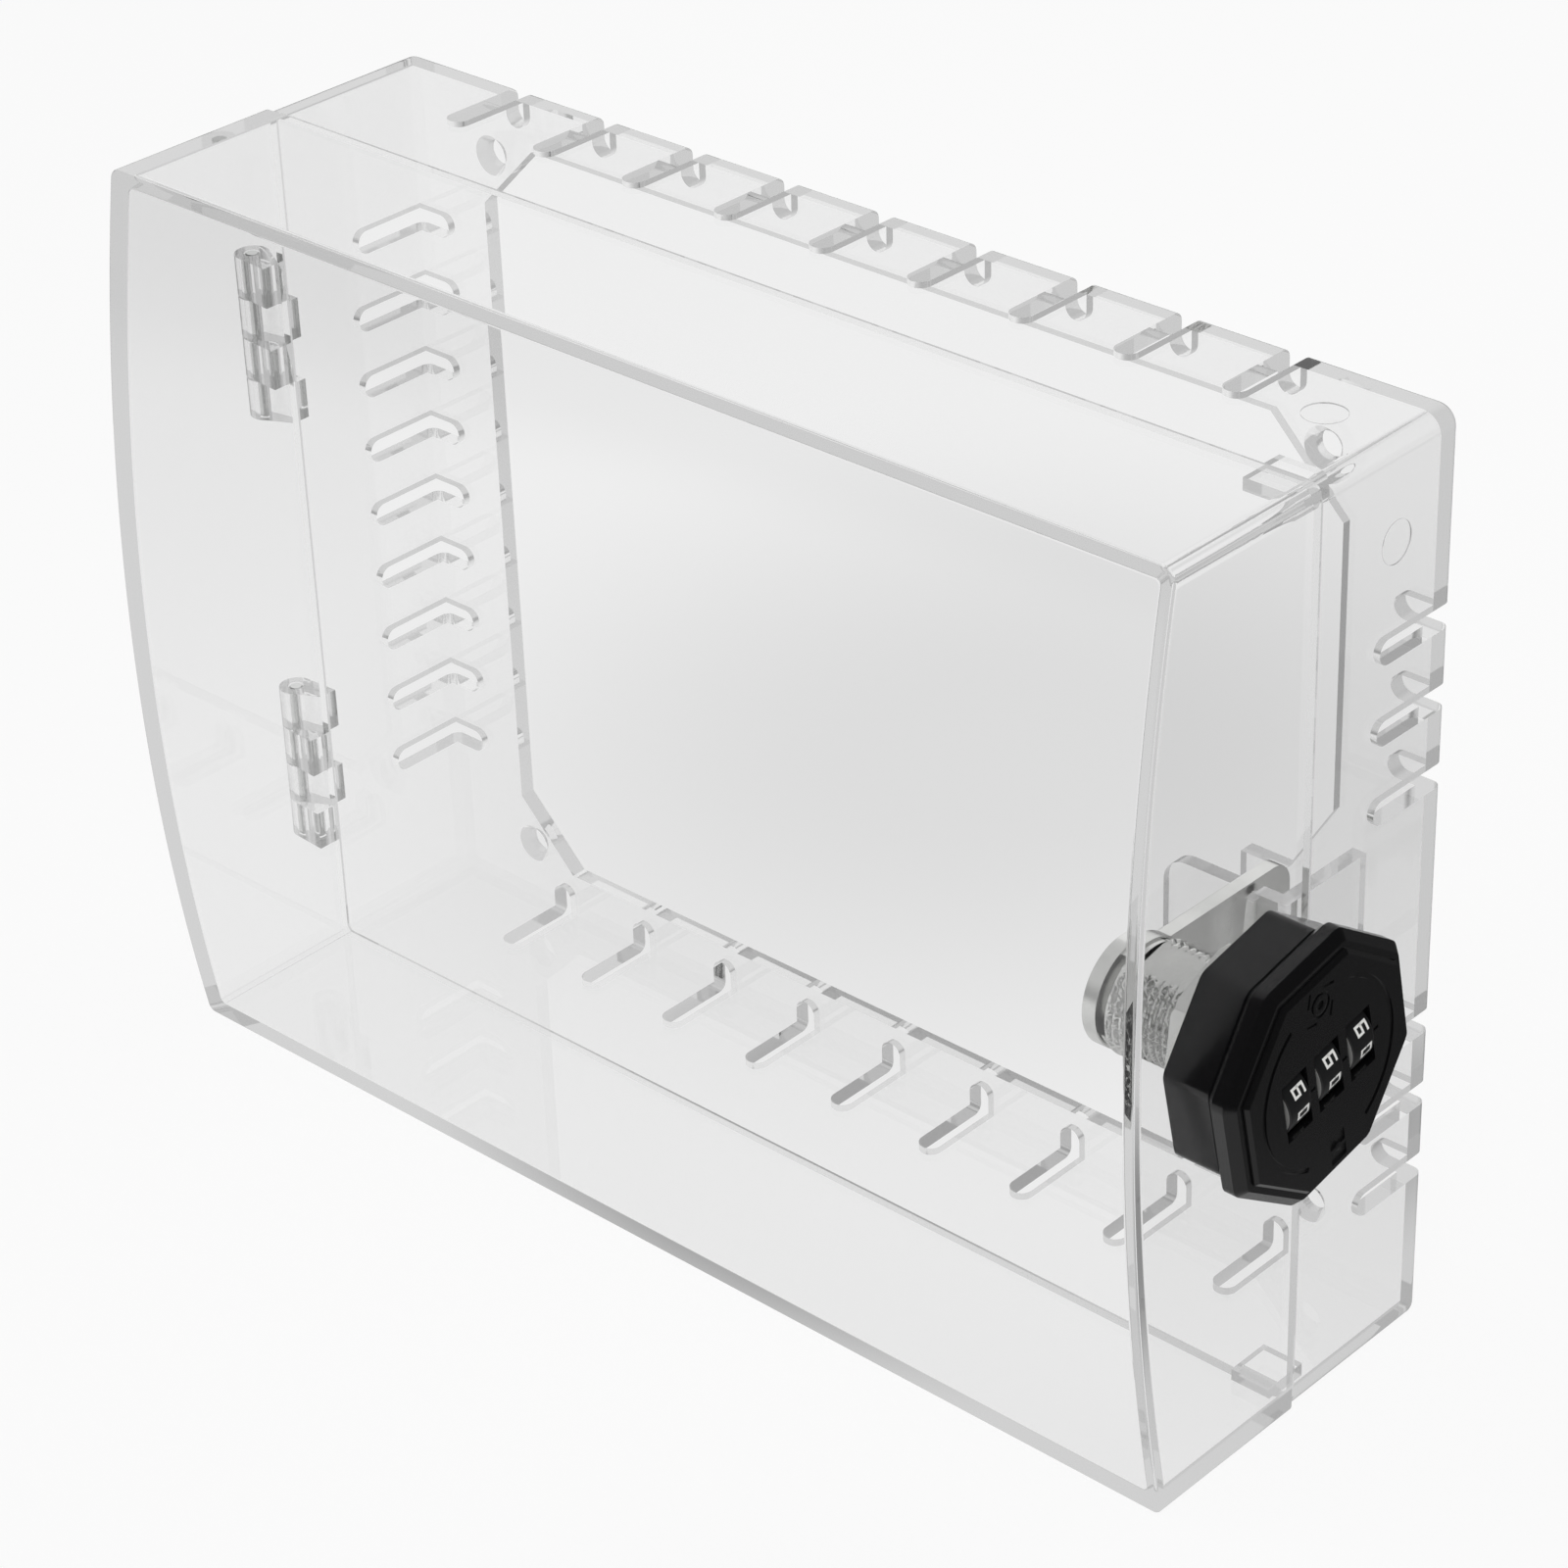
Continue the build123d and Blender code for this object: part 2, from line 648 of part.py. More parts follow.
with BuildPart() as knob_housing:
    with BuildSketch(lock_plane(knob_back_x)):
        octagon(knob_across_flats, knob_corner_radius)
    extrude(amount=knob_height)
    chamfer(knob_housing.faces().sort_by(Axis.X)[0].edges(), knob_rear_bevel)
    chamfer(knob_housing.faces().sort_by(Axis.X)[-1].edges(), knob_front_bevel)
    with BuildSketch(lock_plane(flange_front_x)):
        Circle(skirt_outer_radius)
    extrude(amount=knob_back_x - flange_front_x + fuse_overlap)
    with BuildSketch(lock_plane(flange_front_x)):
        Circle(skirt_inner_radius)
    extrude(amount=roof_inner_x - flange_front_x, mode=Mode.SUBTRACT)
    with BuildSketch(lock_plane(plate_back_x)):
        octagon(plate_across_flats + 2 * plate_gap)
    extrude(amount=plate_thickness, mode=Mode.SUBTRACT)
    with BuildSketch(lock_plane(flange_front_x)):
        with Locations(*screw_spots):
            Circle(knob_boss_radius)
        Circle(skirt_outer_radius - fuse_overlap, mode=Mode.INTERSECT)
    extrude(amount=roof_inner_x - flange_front_x)
    with BuildSketch(lock_plane(flange_front_x)):
        with Locations(*screw_spots):
            Circle(knob_screw_radius + running_clearance)
    extrude(amount=knob_screw_length, mode=Mode.SUBTRACT)

    # Two walls that carry the axle and a rib in each gap between two wheels
    support_back_x = axle_x - axle_radius - rib_below_axle
    support_start = row_start - part_gap - axle_support / 2
    support_end = row_end + part_gap + axle_support / 2
    with BuildSketch(lock_plane(support_back_x)):
        with Locations((support_start, 0), (support_end, 0)):
            Rectangle(axle_support, 2 * rib_half_height)
        with Locations(*[(place, 0) for place in rib_places]):
            Rectangle(rib_thickness, 2 * rib_half_height)
    extrude(amount=roof_inner_x - support_back_x + fuse_overlap)
    with BuildSketch(row_plane(support_start - axle_support)):
        Circle(axle_bore)
    extrude(amount=-(2 * skirt_outer_radius), mode=Mode.SUBTRACT)
    swept_radius = wheel_radius + part_gap
    roof_cut = 2 * math.sqrt(swept_radius**2 - (roof_inner_x - axle_x) ** 2)
    roof_cut_width = wheel_width + sleeve_flange_thickness + 2 * part_gap
    with BuildSketch(lock_plane(roof_inner_x - fuse_overlap)):
        with Locations(*[(place + sleeve_flange_thickness / 2, 0) for place in row_places]):
            Rectangle(roof_cut_width, roof_cut)
    extrude(amount=knob_roof + 2 * fuse_overlap, mode=Mode.SUBTRACT)

    # Slot in the skirt for the tail of the locking bar
    bar_middle_y = -(bar_from_axle + bar_thickness / 2)
    with BuildSketch(lock_plane(axle_x - bar_height / 2 - part_gap)):
        with Locations((0, -skirt_outer_radius)):
            Rectangle(bar_tail_width + 2 * part_gap, 2 * knob_skirt_wall + 2 * fuse_overlap)
    extrude(amount=bar_height + 2 * part_gap, mode=Mode.SUBTRACT)
knob_housing.part.label = "knob_housing"
export_step(knob_housing.part, "parts/knob_housing.step")


# Face plate with three windows, two arc grooves, reading marks and two plain emblems
with BuildPart() as face_plate:
    with BuildSketch(lock_plane(plate_back_x)):
        octagon(plate_across_flats)
        with Locations(*wheel_spots):
            Rectangle(window_width, window_height, mode=Mode.SUBTRACT)
    extrude(amount=plate_thickness)
    front_edges = face_plate.edges().group_by(Axis.X)[-1]
    outer_edges = front_edges.filter_by(lambda edge: edge.length > window_height)
    chamfer(outer_edges, plate_bevel)
    with BuildSketch(lock_plane(plate_front_x)):
        Circle(arc_groove_radius + arc_groove_width / 2)
        Circle(arc_groove_radius - arc_groove_width / 2, mode=Mode.SUBTRACT)
        with BuildLine():
            far = 2 * arc_groove_radius
            reach_x = far * math.cos(math.radians(arc_groove_half_angle))
            reach_y = far * math.sin(math.radians(arc_groove_half_angle))
            Polyline((0, 0), (reach_x, reach_y), (-reach_x, reach_y), close=True)
        make_face(mode=Mode.SUBTRACT)
        with BuildLine():
            Polyline((0, 0), (reach_x, -reach_y), (-reach_x, -reach_y), close=True)
        make_face(mode=Mode.SUBTRACT)
    extrude(amount=-arc_groove_depth, mode=Mode.SUBTRACT)
    with BuildSketch(lock_plane(plate_front_x)):
        gap_middle = wheel_pitch / 2
        with Locations(*[(place + gap_middle, 0) for place in row_places]):
            Rectangle(index_length, index_width)
        with Locations((0, upper_emblem_offset)):
            Circle(emblem_radius)
            Circle(emblem_radius - emblem_line, mode=Mode.SUBTRACT)
            Circle(emblem_dot_radius)
            with PolarLocations(emblem_hook_place, 4, start_angle=45):
                Rectangle(emblem_line, emblem_hook_length, rotation=emblem_hook_slant)
        with Locations((0, -lower_emblem_offset)):
            Rectangle(lower_emblem_width, lower_emblem_height)
            Rectangle(lower_emblem_width, emblem_line, mode=Mode.SUBTRACT)
            Circle(emblem_dot_radius, mode=Mode.SUBTRACT)
    extrude(amount=-arc_groove_depth, mode=Mode.SUBTRACT)
face_plate.part.label = "face_plate"
export_step(face_plate.part, "parts/face_plate.step")


# Spindle: flange that closes the knob, neck, round shaft and square end
square_back_x = hook_back_x + running_clearance
with BuildPart() as spindle:
    with BuildSketch(lock_plane(flange_back_x)):
        Circle(spindle_flange_radius)
        wheel_cut = 2 * math.sqrt(swept_radius**2 - (axle_x - flange_front_x) ** 2)
        with Locations(*wheel_spots):
            Rectangle(wheel_width + 2 * part_gap, wheel_cut, mode=Mode.SUBTRACT)
        with Locations(*screw_spots):
            Circle(knob_screw_radius + running_clearance, mode=Mode.SUBTRACT)
    extrude(amount=spindle_flange_thickness)
    with BuildSketch(lock_plane(head_back_x + running_clearance)):
        Circle(spindle_neck_radius)
    extrude(amount=flange_back_x - head_back_x - running_clearance)
    with BuildSketch(lock_plane(barrel_tip_x)):
        Circle(spindle_radius)
    extrude(amount=head_back_x - barrel_tip_x + fuse_overlap)
    with BuildSketch(upright_plane(square_back_x)):
        Rectangle(spindle_square, spindle_square)
    extrude(amount=barrel_tip_x - square_back_x)
    with BuildSketch(upright_plane(square_back_x)):
        Circle(screw_radius + running_clearance)
    extrude(amount=screw_length + screw_hole_spare, mode=Mode.SUBTRACT)
spindle.part.label = "spindle"
export_step(spindle.part, "parts/spindle.step")


# Small screws that hold the spindle's flange to the knob housing
with BuildPart() as knob_screws:
    with BuildSketch(lock_plane(flange_back_x)):
        with Locations(*screw_spots):
            Circle(knob_screw_radius)
    extrude(amount=spindle_flange_thickness + knob_screw_length - part_gap)
knob_screws.part.label = "knob_screws"
export_step(knob_screws.part, "parts/knob_screws.step")


# Axle of the number wheels
with BuildPart() as wheel_axle:
    axle_start = support_start - axle_support / 2
    axle_length = support_end + axle_support / 2 - axle_start
    with BuildSketch(row_plane(axle_start)):
        Circle(axle_radius)
    extrude(amount=-axle_length)
wheel_axle.part.label = "wheel_axle"
export_step(wheel_axle.part, "parts/wheel_axle.step")


# Number wheels and the code sleeves that turn with them
for number, place in enumerate(row_places, start=1):
    with BuildPart() as number_wheel:
        with BuildSketch(row_plane(place - wheel_width / 2)):
            Circle(wheel_radius)
            Circle(sleeve_radius + running_clearance, mode=Mode.SUBTRACT)
        extrude(amount=-wheel_width)
        rims = number_wheel.edges().filter_by(
            lambda edge: edge.geom_type == GeomType.CIRCLE and edge.radius > sleeve_flange_radius
        )
        chamfer(rims, wheel_edge)
    number_wheel.part.label = f"number_wheel_{number}"
    export_step(number_wheel.part, f"parts/number_wheel_{number}.step")

    with BuildPart() as code_sleeve:
        with BuildSketch(row_plane(place - wheel_width / 2)):
            Circle(sleeve_radius)
        extrude(amount=-wheel_width)
        with BuildSketch(row_plane(place + wheel_width / 2)):
            Circle(sleeve_flange_radius)
            with Locations((-sleeve_flange_radius, 0)):
                Rectangle(2 * gate_depth, gate_width, mode=Mode.SUBTRACT)
        extrude(amount=-sleeve_flange_thickness)
        with BuildSketch(row_plane(place - wheel_width / 2)):
            Circle(axle_bore)
        extrude(amount=-(wheel_width + sleeve_flange_thickness), mode=Mode.SUBTRACT)
    code_sleeve.part.label = f"code_sleeve_{number}"
    export_step(code_sleeve.part, f"parts/code_sleeve_{number}.step")


# Locking bar: a rail with a finger for each sleeve and a tail towards the collar's notch
bar_back_x = axle_x - bar_height / 2
finger_tip = sleeve_flange_radius + part_gap
finger_width = sleeve_flange_thickness - part_gap
tail_end = skirt_outer_radius
with BuildPart() as locking_bar:
    with BuildSketch(lock_plane(bar_back_x)):
        with Locations((0, bar_middle_y)):
            Rectangle(2 * bar_half_length, bar_thickness)
        finger_length = bar_from_axle - finger_tip + fuse_overlap
        finger_middle = -(finger_tip + finger_length / 2)
        finger_places = [place + (wheel_width + finger_width) / 2 + part_gap for place in row_places]
        with Locations(*[(place, finger_middle) for place in finger_places]):
            Rectangle(finger_width, finger_length)
        tail_length = tail_end - bar_from_axle
        with Locations((0, -(bar_from_axle + tail_length / 2))):
            Rectangle(bar_tail_width, tail_length)
    extrude(amount=bar_height)
locking_bar.part.label = "locking_bar"
export_step(locking_bar.part, "parts/locking_bar.step")


# Two springs that push the locking bar inwards
spring_start = bar_outer + bar_spring_wire / 2 + running_clearance
spring_end_radius = math.sqrt(skirt_inner_radius**2 - (bar_spring_offset + bar_spring_radius) ** 2)
spring_length = spring_end_radius - bar_spring_wire / 2 - running_clearance - spring_start
across_row = (0, -row_direction[2], row_direction[1])
with BuildPart() as locking_bar_springs:
    for sign in (1, -1):
        start = (
            axle_x,
            lock_y + sign * bar_spring_offset * row_direction[1] - spring_start * across_row[1],
            lock_z + sign * bar_spring_offset * row_direction[2] - spring_start * across_row[2],
        )
        away = tuple(-value for value in across_row)
        with BuildLine():
            coil = Helix(
                pitch=spring_length / bar_spring_turns,
                height=spring_length,
                radius=bar_spring_radius - bar_spring_wire / 2,
                center=start,
                direction=away,
            )
        with BuildSketch(Plane(coil @ 0, z_dir=coil % 0)):
            Circle(bar_spring_wire / 2)
        sweep(path=coil)
locking_bar_springs.part.label = "locking_bar_springs"
export_step(locking_bar_springs.part, "parts/locking_bar_springs.step")


# Click spring: a strip with a bent tongue over each wheel
click_near = wheel_radius + part_gap
click_far = click_from_axle + click_tongue_section
with BuildPart() as click_spring:
    with BuildSketch(lock_plane(axle_x - click_half_width)):
        with Locations((0, click_from_axle + click_sheet / 2)):
            Rectangle(2 * row_half_length, click_sheet)
    extrude(amount=2 * click_half_width)
    for place in row_places:
        with BuildSketch(row_plane(place - click_tongue_width / 2)):
            with BuildLine():
                Polyline(
                    (click_from_axle, -click_half_width),
                    (click_near, 0),
                    (click_from_axle, click_half_width),
                    (click_far, click_half_width),
                    (click_near + click_tongue_section, 0),
                    (click_far, -click_half_width),
                    close=True,
                )
            make_face()
        extrude(amount=-click_tongue_width)
click_spring.part.label = "click_spring"
export_step(click_spring.part, "parts/click_spring.step")


# Stop washer, whose ear meets the barrel's skirt at both ends of the quarter turn
with BuildPart() as stop_washer:
    with BuildSketch(upright_plane(hook_front_x)):
        Circle(root_radius)
        with BuildLine():
            far = 3 * barrel_radius
            ear_half = math.radians(stop_ear_angle / 2)
            ear_middle = math.radians(stop_ear_direction)
            first = (far * math.cos(ear_middle - ear_half), far * math.sin(ear_middle - ear_half))
            second = (far * math.cos(ear_middle + ear_half), far * math.sin(ear_middle + ear_half))
            Polyline((0, 0), first, second, close=True)
        make_face(mode=Mode.INTERSECT)
        Circle(stop_washer_radius)
        Rectangle(spindle_square, spindle_square, mode=Mode.SUBTRACT)
    extrude(amount=stop_washer_thickness)
stop_washer.part.label = "stop_washer"
export_step(stop_washer.part, "parts/stop_washer.step")


# Hook on the spindle's square end
with BuildPart() as lock_hook:
    with BuildSketch(upright_plane(hook_back_x)) as hook_sketch:
        with BuildLine():
            Polyline(
                (0, hook_top),
                (hook_reach, hook_top),
                (hook_reach, hook_tip_bottom),
                (hook_slot_outer, hook_tip_bottom),
                (hook_slot_outer, hook_bottom),
                (0, hook_bottom),
                close=True,
            )
        make_face()
        fillet(hook_sketch.vertices().sort_by(Axis.X)[-2:].sort_by(Axis.Y)[-1], hook_corner)
        slot_round = hook_slot_width / 2
        slot_middle = (hook_slot_inner + hook_slot_outer) / 2
        with Locations((slot_middle, hook_slot_top - slot_round)):
            Circle(slot_round, mode=Mode.SUBTRACT)
        with BuildLine():
            Polyline(
                (hook_slot_inner, hook_slot_top - slot_round),
                (hook_slot_outer, hook_slot_top - slot_round),
                (hook_slot_outer, 2 * hook_bottom),
                (hook_slot_inner - hook_slot_flare, 2 * hook_bottom),
                (hook_slot_inner - hook_slot_flare, hook_bottom),
                close=True,
            )
        make_face(mode=Mode.SUBTRACT)
        Circle(hook_hub_radius)
        Rectangle(spindle_square, spindle_square, mode=Mode.SUBTRACT)
    extrude(amount=hook_thickness)
lock_hook.part.label = "lock_hook"
export_step(lock_hook.part, "parts/lock_hook.step")


# Spring washer and screw that hold the hook
with BuildPart() as hook_washer:
    with BuildSketch(upright_plane(washer_back_x)):
        Circle(cam_washer_radius)
        Circle(screw_radius + running_clearance, mode=Mode.SUBTRACT)
    extrude(amount=cam_washer_thickness)
hook_washer.part.label = "hook_washer"
export_step(hook_washer.part, "parts/hook_washer.step")

dome_radius = (screw_head_radius**2 + screw_dome_height**2) / (2 * screw_dome_height)
dome_middle = dome_radius - math.sqrt(dome_radius**2 - (screw_head_radius / 2) ** 2)
rim_front_x = washer_back_x - screw_rim_height
head_front_x = rim_front_x - screw_dome_height
screw_end_x = washer_back_x + screw_length
with BuildPart() as hook_screw:
    with BuildSketch(profile_plane()):
        with BuildLine():
            Polyline(
                (head_front_x, 0),
                (screw_end_x, 0),
                (screw_end_x, screw_radius),
                (washer_back_x, screw_radius),
                (washer_back_x, screw_head_radius),
                (rim_front_x, screw_head_radius),
            )
            ThreePointArc(
                (rim_front_x, screw_head_radius),
                (head_front_x + dome_middle, screw_head_radius / 2),
                (head_front_x, 0),
            )
        make_face()
    revolve(axis=lock_axis)
    with BuildSketch(upright_plane(head_front_x)):
        Rectangle(screw_slot_width, screw_slot_length)
        Rectangle(screw_slot_length, screw_slot_width)
    extrude(amount=screw_slot_depth, mode=Mode.SUBTRACT)
hook_screw.part.label = "hook_screw"
export_step(hook_screw.part, "parts/hook_screw.step")
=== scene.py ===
"""Clear thermostat lock box with a combination knob, on a plain pale floor."""

import json
import math

import bmesh
import bpy
from mathutils import Matrix, Vector


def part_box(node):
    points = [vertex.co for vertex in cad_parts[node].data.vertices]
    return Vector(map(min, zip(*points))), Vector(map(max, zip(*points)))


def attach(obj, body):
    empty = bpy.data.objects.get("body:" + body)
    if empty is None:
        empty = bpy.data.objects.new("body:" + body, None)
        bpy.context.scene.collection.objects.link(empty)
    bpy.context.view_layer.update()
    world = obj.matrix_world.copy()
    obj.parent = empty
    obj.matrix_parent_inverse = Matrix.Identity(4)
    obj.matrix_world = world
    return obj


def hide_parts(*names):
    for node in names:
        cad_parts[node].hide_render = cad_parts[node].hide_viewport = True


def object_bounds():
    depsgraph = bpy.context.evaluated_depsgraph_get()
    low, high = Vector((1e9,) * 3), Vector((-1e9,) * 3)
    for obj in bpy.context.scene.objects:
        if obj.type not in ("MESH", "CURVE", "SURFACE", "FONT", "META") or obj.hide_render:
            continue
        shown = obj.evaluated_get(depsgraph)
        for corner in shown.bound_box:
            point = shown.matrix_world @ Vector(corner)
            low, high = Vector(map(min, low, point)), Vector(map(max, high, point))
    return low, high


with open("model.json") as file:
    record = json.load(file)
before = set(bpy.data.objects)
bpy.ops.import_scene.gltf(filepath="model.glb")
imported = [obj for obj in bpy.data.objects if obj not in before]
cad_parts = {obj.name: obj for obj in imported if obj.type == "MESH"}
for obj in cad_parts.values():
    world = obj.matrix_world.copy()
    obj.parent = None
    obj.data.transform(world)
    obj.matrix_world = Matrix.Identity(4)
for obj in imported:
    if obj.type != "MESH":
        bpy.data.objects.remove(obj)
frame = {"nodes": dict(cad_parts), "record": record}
cad_low, cad_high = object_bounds()
NODES = frame["nodes"]

MM = 0.001
# Points nearer than this become one
MERGE_DISTANCE = 0.001 * MM
# Edges sharper than this stay sharp or are rounded, and faces flatter than this become one
SHARP_ANGLE = math.radians(30)
FLAT_ANGLE = math.radians(0.02)

# Limits for the number of mirror turns on a light's way: one or more, two or more
TURNED_ONCE = 0.5
TURNED_TWICE = 1.5
# Limit for all surfaces on a light's way, after which the plastic lets it straight through
MANY_SURFACES = 9.5

# Sizes of the box, in metres, as in the CAD model
cover_low, cover_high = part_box("cover_shell")
HALF_WIDTH = cover_high[0]
HALF_HEIGHT = cover_high[2]
FRONT_Y = cover_low[1]
WALL = 2.8 * MM
FRONT_BOW = 7.1 * MM
SEAM_Y = -31.5 * MM
SEAM_GAP = 0.4 * MM
CORNER_RADIUS = 1.4 * MM
INNER_CORNER_RADIUS = 1.2 * MM
FRONT_EDGE_RADIUS = 0.5 * MM
INNER_FRONT_RADIUS = 0.3 * MM
OUTER_ARCH = (HALF_HEIGHT**2 + FRONT_BOW**2) / (2 * FRONT_BOW)
INNER_ARCH = OUTER_ARCH - WALL
ARCH_MIDDLE_Y = FRONT_Y + OUTER_ARCH
ARCH_STEPS = 78
CORNER_SEGMENTS = 8
FRONT_EDGE_SEGMENTS = 6
# Limits for how far an edge or a face's normal points along Y
ALONG_Y = 0.99
SIDE_SLANT = 0.3
FRONT_SLANT = 0.9

# Hinges on the left wall
HINGE_X = -111.4 * MM
HINGE_LENGTH = 29.0 * MM
UPPER_HINGE_Z = 37.3 * MM
LOWER_HINGE_Z = -43.2 * MM
KNUCKLE_LENGTH = HINGE_LENGTH / 4
KNUCKLE_GAP = 0.3 * MM
KNUCKLE_RADIUS = 2.9 * MM
PIN_BORE = 1.3 * MM
FOOT_NEAR = 0.25 * MM
FOOT_DEPTH = 3.3 * MM
FOOT_OVERLAP = 0.01 * MM
KNUCKLE_SIDES = 48
WAIST_ANGLE = math.radians(50)
FUSE = 0.4 * MM

# Hole for the lock's barrel
BARREL_HOLE_RADIUS = 9.05 * MM
BARREL_HOLE_HALF_FLATS = 7.95 * MM
BARREL_HOLE_SIDES = 64
LOCK_Y = -45.1 * MM
LOCK_Z = -3.1 * MM
ROW_TILT = math.radians(11.5)
AXLE_X = 113.65 * MM
WHEEL_RADIUS = 6.4 * MM
WHEEL_PITCH = 7.3 * MM

ROW = Vector((0, math.cos(ROW_TILT), math.sin(ROW_TILT)))
ACROSS = Vector((0, -math.sin(ROW_TILT), math.cos(ROW_TILT)))
OUTWARD = Vector((1, 0, 0))
LOCK_CENTRE = Vector((0, LOCK_Y, LOCK_Z))


def linear(hex_colour):
    """sRGB hex colour to linear RGBA."""
    channels = [int(hex_colour[i : i + 2], 16) / 255 for i in (1, 3, 5)]
    return [
        c / 12.92 if c <= 0.04045 else ((c + 0.055) / 1.055) ** 2.4 for c in channels
    ] + [1.0]


def add_node(tree, kind, settings=None, inputs=None):
    """Adds a node, sets its properties, and sets or links its inputs by name or number."""
    node = tree.nodes.new(kind)
    for name, value in (settings or {}).items():
        setattr(node, name, value)
    for name, value in (inputs or {}).items():
        if isinstance(value, bpy.types.NodeSocket):
            tree.links.new(value, node.inputs[name])
        else:
            node.inputs[name].default_value = value
    return node


def new_material(name):
    material = bpy.data.materials.new(name)
    material.use_nodes = True
    material.node_tree.nodes.clear()
    return material, material.node_tree


def finish_material(material, shader):
    tree = material.node_tree
    add_node(tree, "ShaderNodeOutputMaterial", inputs={"Surface": shader.outputs[0]})
    return material


def object_coordinates(tree, scale=(1, 1, 1)):
    coordinates = add_node(tree, "ShaderNodeTexCoord")
    return add_node(
        tree,
        "ShaderNodeMapping",
        inputs={"Vector": coordinates.outputs["Object"], "Scale": scale},
    ).outputs["Vector"]


def clear_plastic(name, tint, roughness):
    """Polycarbonate, injection moulded in a polished mould: clear, with faint flow waves."""
    material, tree = new_material(name)
    place = object_coordinates(tree)
    # Flow waves are a few centimetres apart and only just move what is seen through the wall
    waves = add_node(
        tree,
        "ShaderNodeTexNoise",
        inputs={"Vector": place, "Scale": 22.0, "Detail": 1.0, "Roughness": 0.4},
    )
    bump = add_node(
        tree,
        "ShaderNodeBump",
        inputs={"Strength": 0.02, "Distance": 0.5 * MM, "Height": waves.outputs["Fac"]},
    )
    shader = add_node(
        tree,
        "ShaderNodeBsdfPrincipled",
        inputs={
            "Base Color": linear(tint),
            "Roughness": roughness,
            "IOR": 1.5,
            "Transmission Weight": 1.0,
            "Normal": bump.outputs["Normal"],
        },
    )
    # Lamps reach what is inside the box, and a ray that is caught inside a wall gets out
    lets_light = add_node(tree, "ShaderNodeBsdfTransparent", inputs={"Color": linear("#F8F8F8")})
    path = add_node(tree, "ShaderNodeLightPath")
    caught = add_node(
        tree,
        "ShaderNodeMath",
        settings={"operation": "GREATER_THAN"},
        inputs={0: path.outputs["Glossy Depth"], 1: TURNED_TWICE},
    )
    deep = add_node(
        tree,
        "ShaderNodeMath",
        settings={"operation": "GREATER_THAN"},
        inputs={0: path.outputs["Ray Depth"], 1: MANY_SURFACES},
    )
    either = add_node(
        tree,
        "ShaderNodeMath",
        settings={"operation": "MAXIMUM"},
        inputs={0: caught.outputs[0], 1: deep.outputs[0]},
    )
    passes = add_node(
        tree,
        "ShaderNodeMath",
        settings={"operation": "MAXIMUM"},
        inputs={0: either.outputs[0], 1: path.outputs["Is Shadow Ray"]},
    )
    mixed = add_node(
        tree,
        "ShaderNodeMixShader",
        inputs={0: passes.outputs[0], 1: shader.outputs[0], 2: lets_light.outputs[0]},
    )
    return finish_material(material, mixed)


def black_moulding(name):
    """Glass-filled nylon, injection moulded: near black, soft sheen, very fine spark texture."""
    material, tree = new_material(name)
    place = object_coordinates(tree)
    # The real grain is about 0.05 mm; it is drawn at 0.25 mm so that it shows
    grain = add_node(
        tree,
        "ShaderNodeTexNoise",
        inputs={"Vector": place, "Scale": 1 / (0.25 * MM), "Detail": 2.0},
    )
    bump = add_node(
        tree,
        "ShaderNodeBump",
        inputs={"Strength": 0.05, "Distance": 0.05 * MM, "Height": grain.outputs["Fac"]},
    )
    patches = add_node(
        tree,
        "ShaderNodeTexNoise",
        inputs={"Vector": place, "Scale": 1 / (6 * MM), "Detail": 2.0},
    )
    roughness = add_node(
        tree,
        "ShaderNodeMapRange",
        inputs={"Value": patches.outputs["Fac"], "To Min": 0.17, "To Max": 0.25},
    )
    shader = add_node(
        tree,
        "ShaderNodeBsdfPrincipled",
        inputs={
            "Base Color": linear("#0D0D0E"),
            "Roughness": roughness.outputs["Result"],
            "IOR": 1.5,
            "Normal": bump.outputs["Normal"],
        },
    )
    return finish_material(material, shader)


def plated_metal(name, colour, roughness, turned=False):
    """Bright grey metal, plated or polished, with fine lines from rolling, drawing or turning."""
    material, tree = new_material(name)
    # Turned pieces have rings about the lock axis, so the lines run across X.
    # The real lines are about 0.1 mm apart; they are drawn at 0.8 mm so that they show
    stretch = (1.0, 0.04, 0.04) if turned else (0.25, 1.0, 0.25)
    place = object_coordinates(tree, scale=stretch)
    lines = add_node(
        tree,
        "ShaderNodeTexNoise",
        inputs={"Vector": place, "Scale": 1 / (0.8 * MM), "Detail": 1.0},
    )
    rough = add_node(
        tree,
        "ShaderNodeMapRange",
        inputs={
            "Value": lines.outputs["Fac"],
            "To Min": roughness * 0.9,
            "To Max": roughness * 1.15,
        },
    )
    clouds = add_node(
        tree,
        "ShaderNodeTexNoise",
        inputs={"Vector": object_coordinates(tree), "Scale": 1 / (7 * MM), "Detail": 3.0},
    )
    tone = add_node(
        tree,
        "ShaderNodeMix",
        settings={"data_type": "RGBA"},
        inputs={0: clouds.outputs["Fac"], 6: linear(colour), 7: linear("#D4D5D3")},
    )
    bump = add_node(
        tree,
        "ShaderNodeBump",
        inputs={"Strength": 0.05, "Distance": 0.01 * MM, "Height": lines.outputs["Fac"]},
    )
    shader = add_node(
        tree,
        "ShaderNodeBsdfPrincipled",
        inputs={
            "Base Color": tone.outputs[2],
            "Metallic": 1.0,
            "Roughness": rough.outputs["Result"],
            "Normal": bump.outputs["Normal"],
        },
    )
    return finish_material(material, shader)


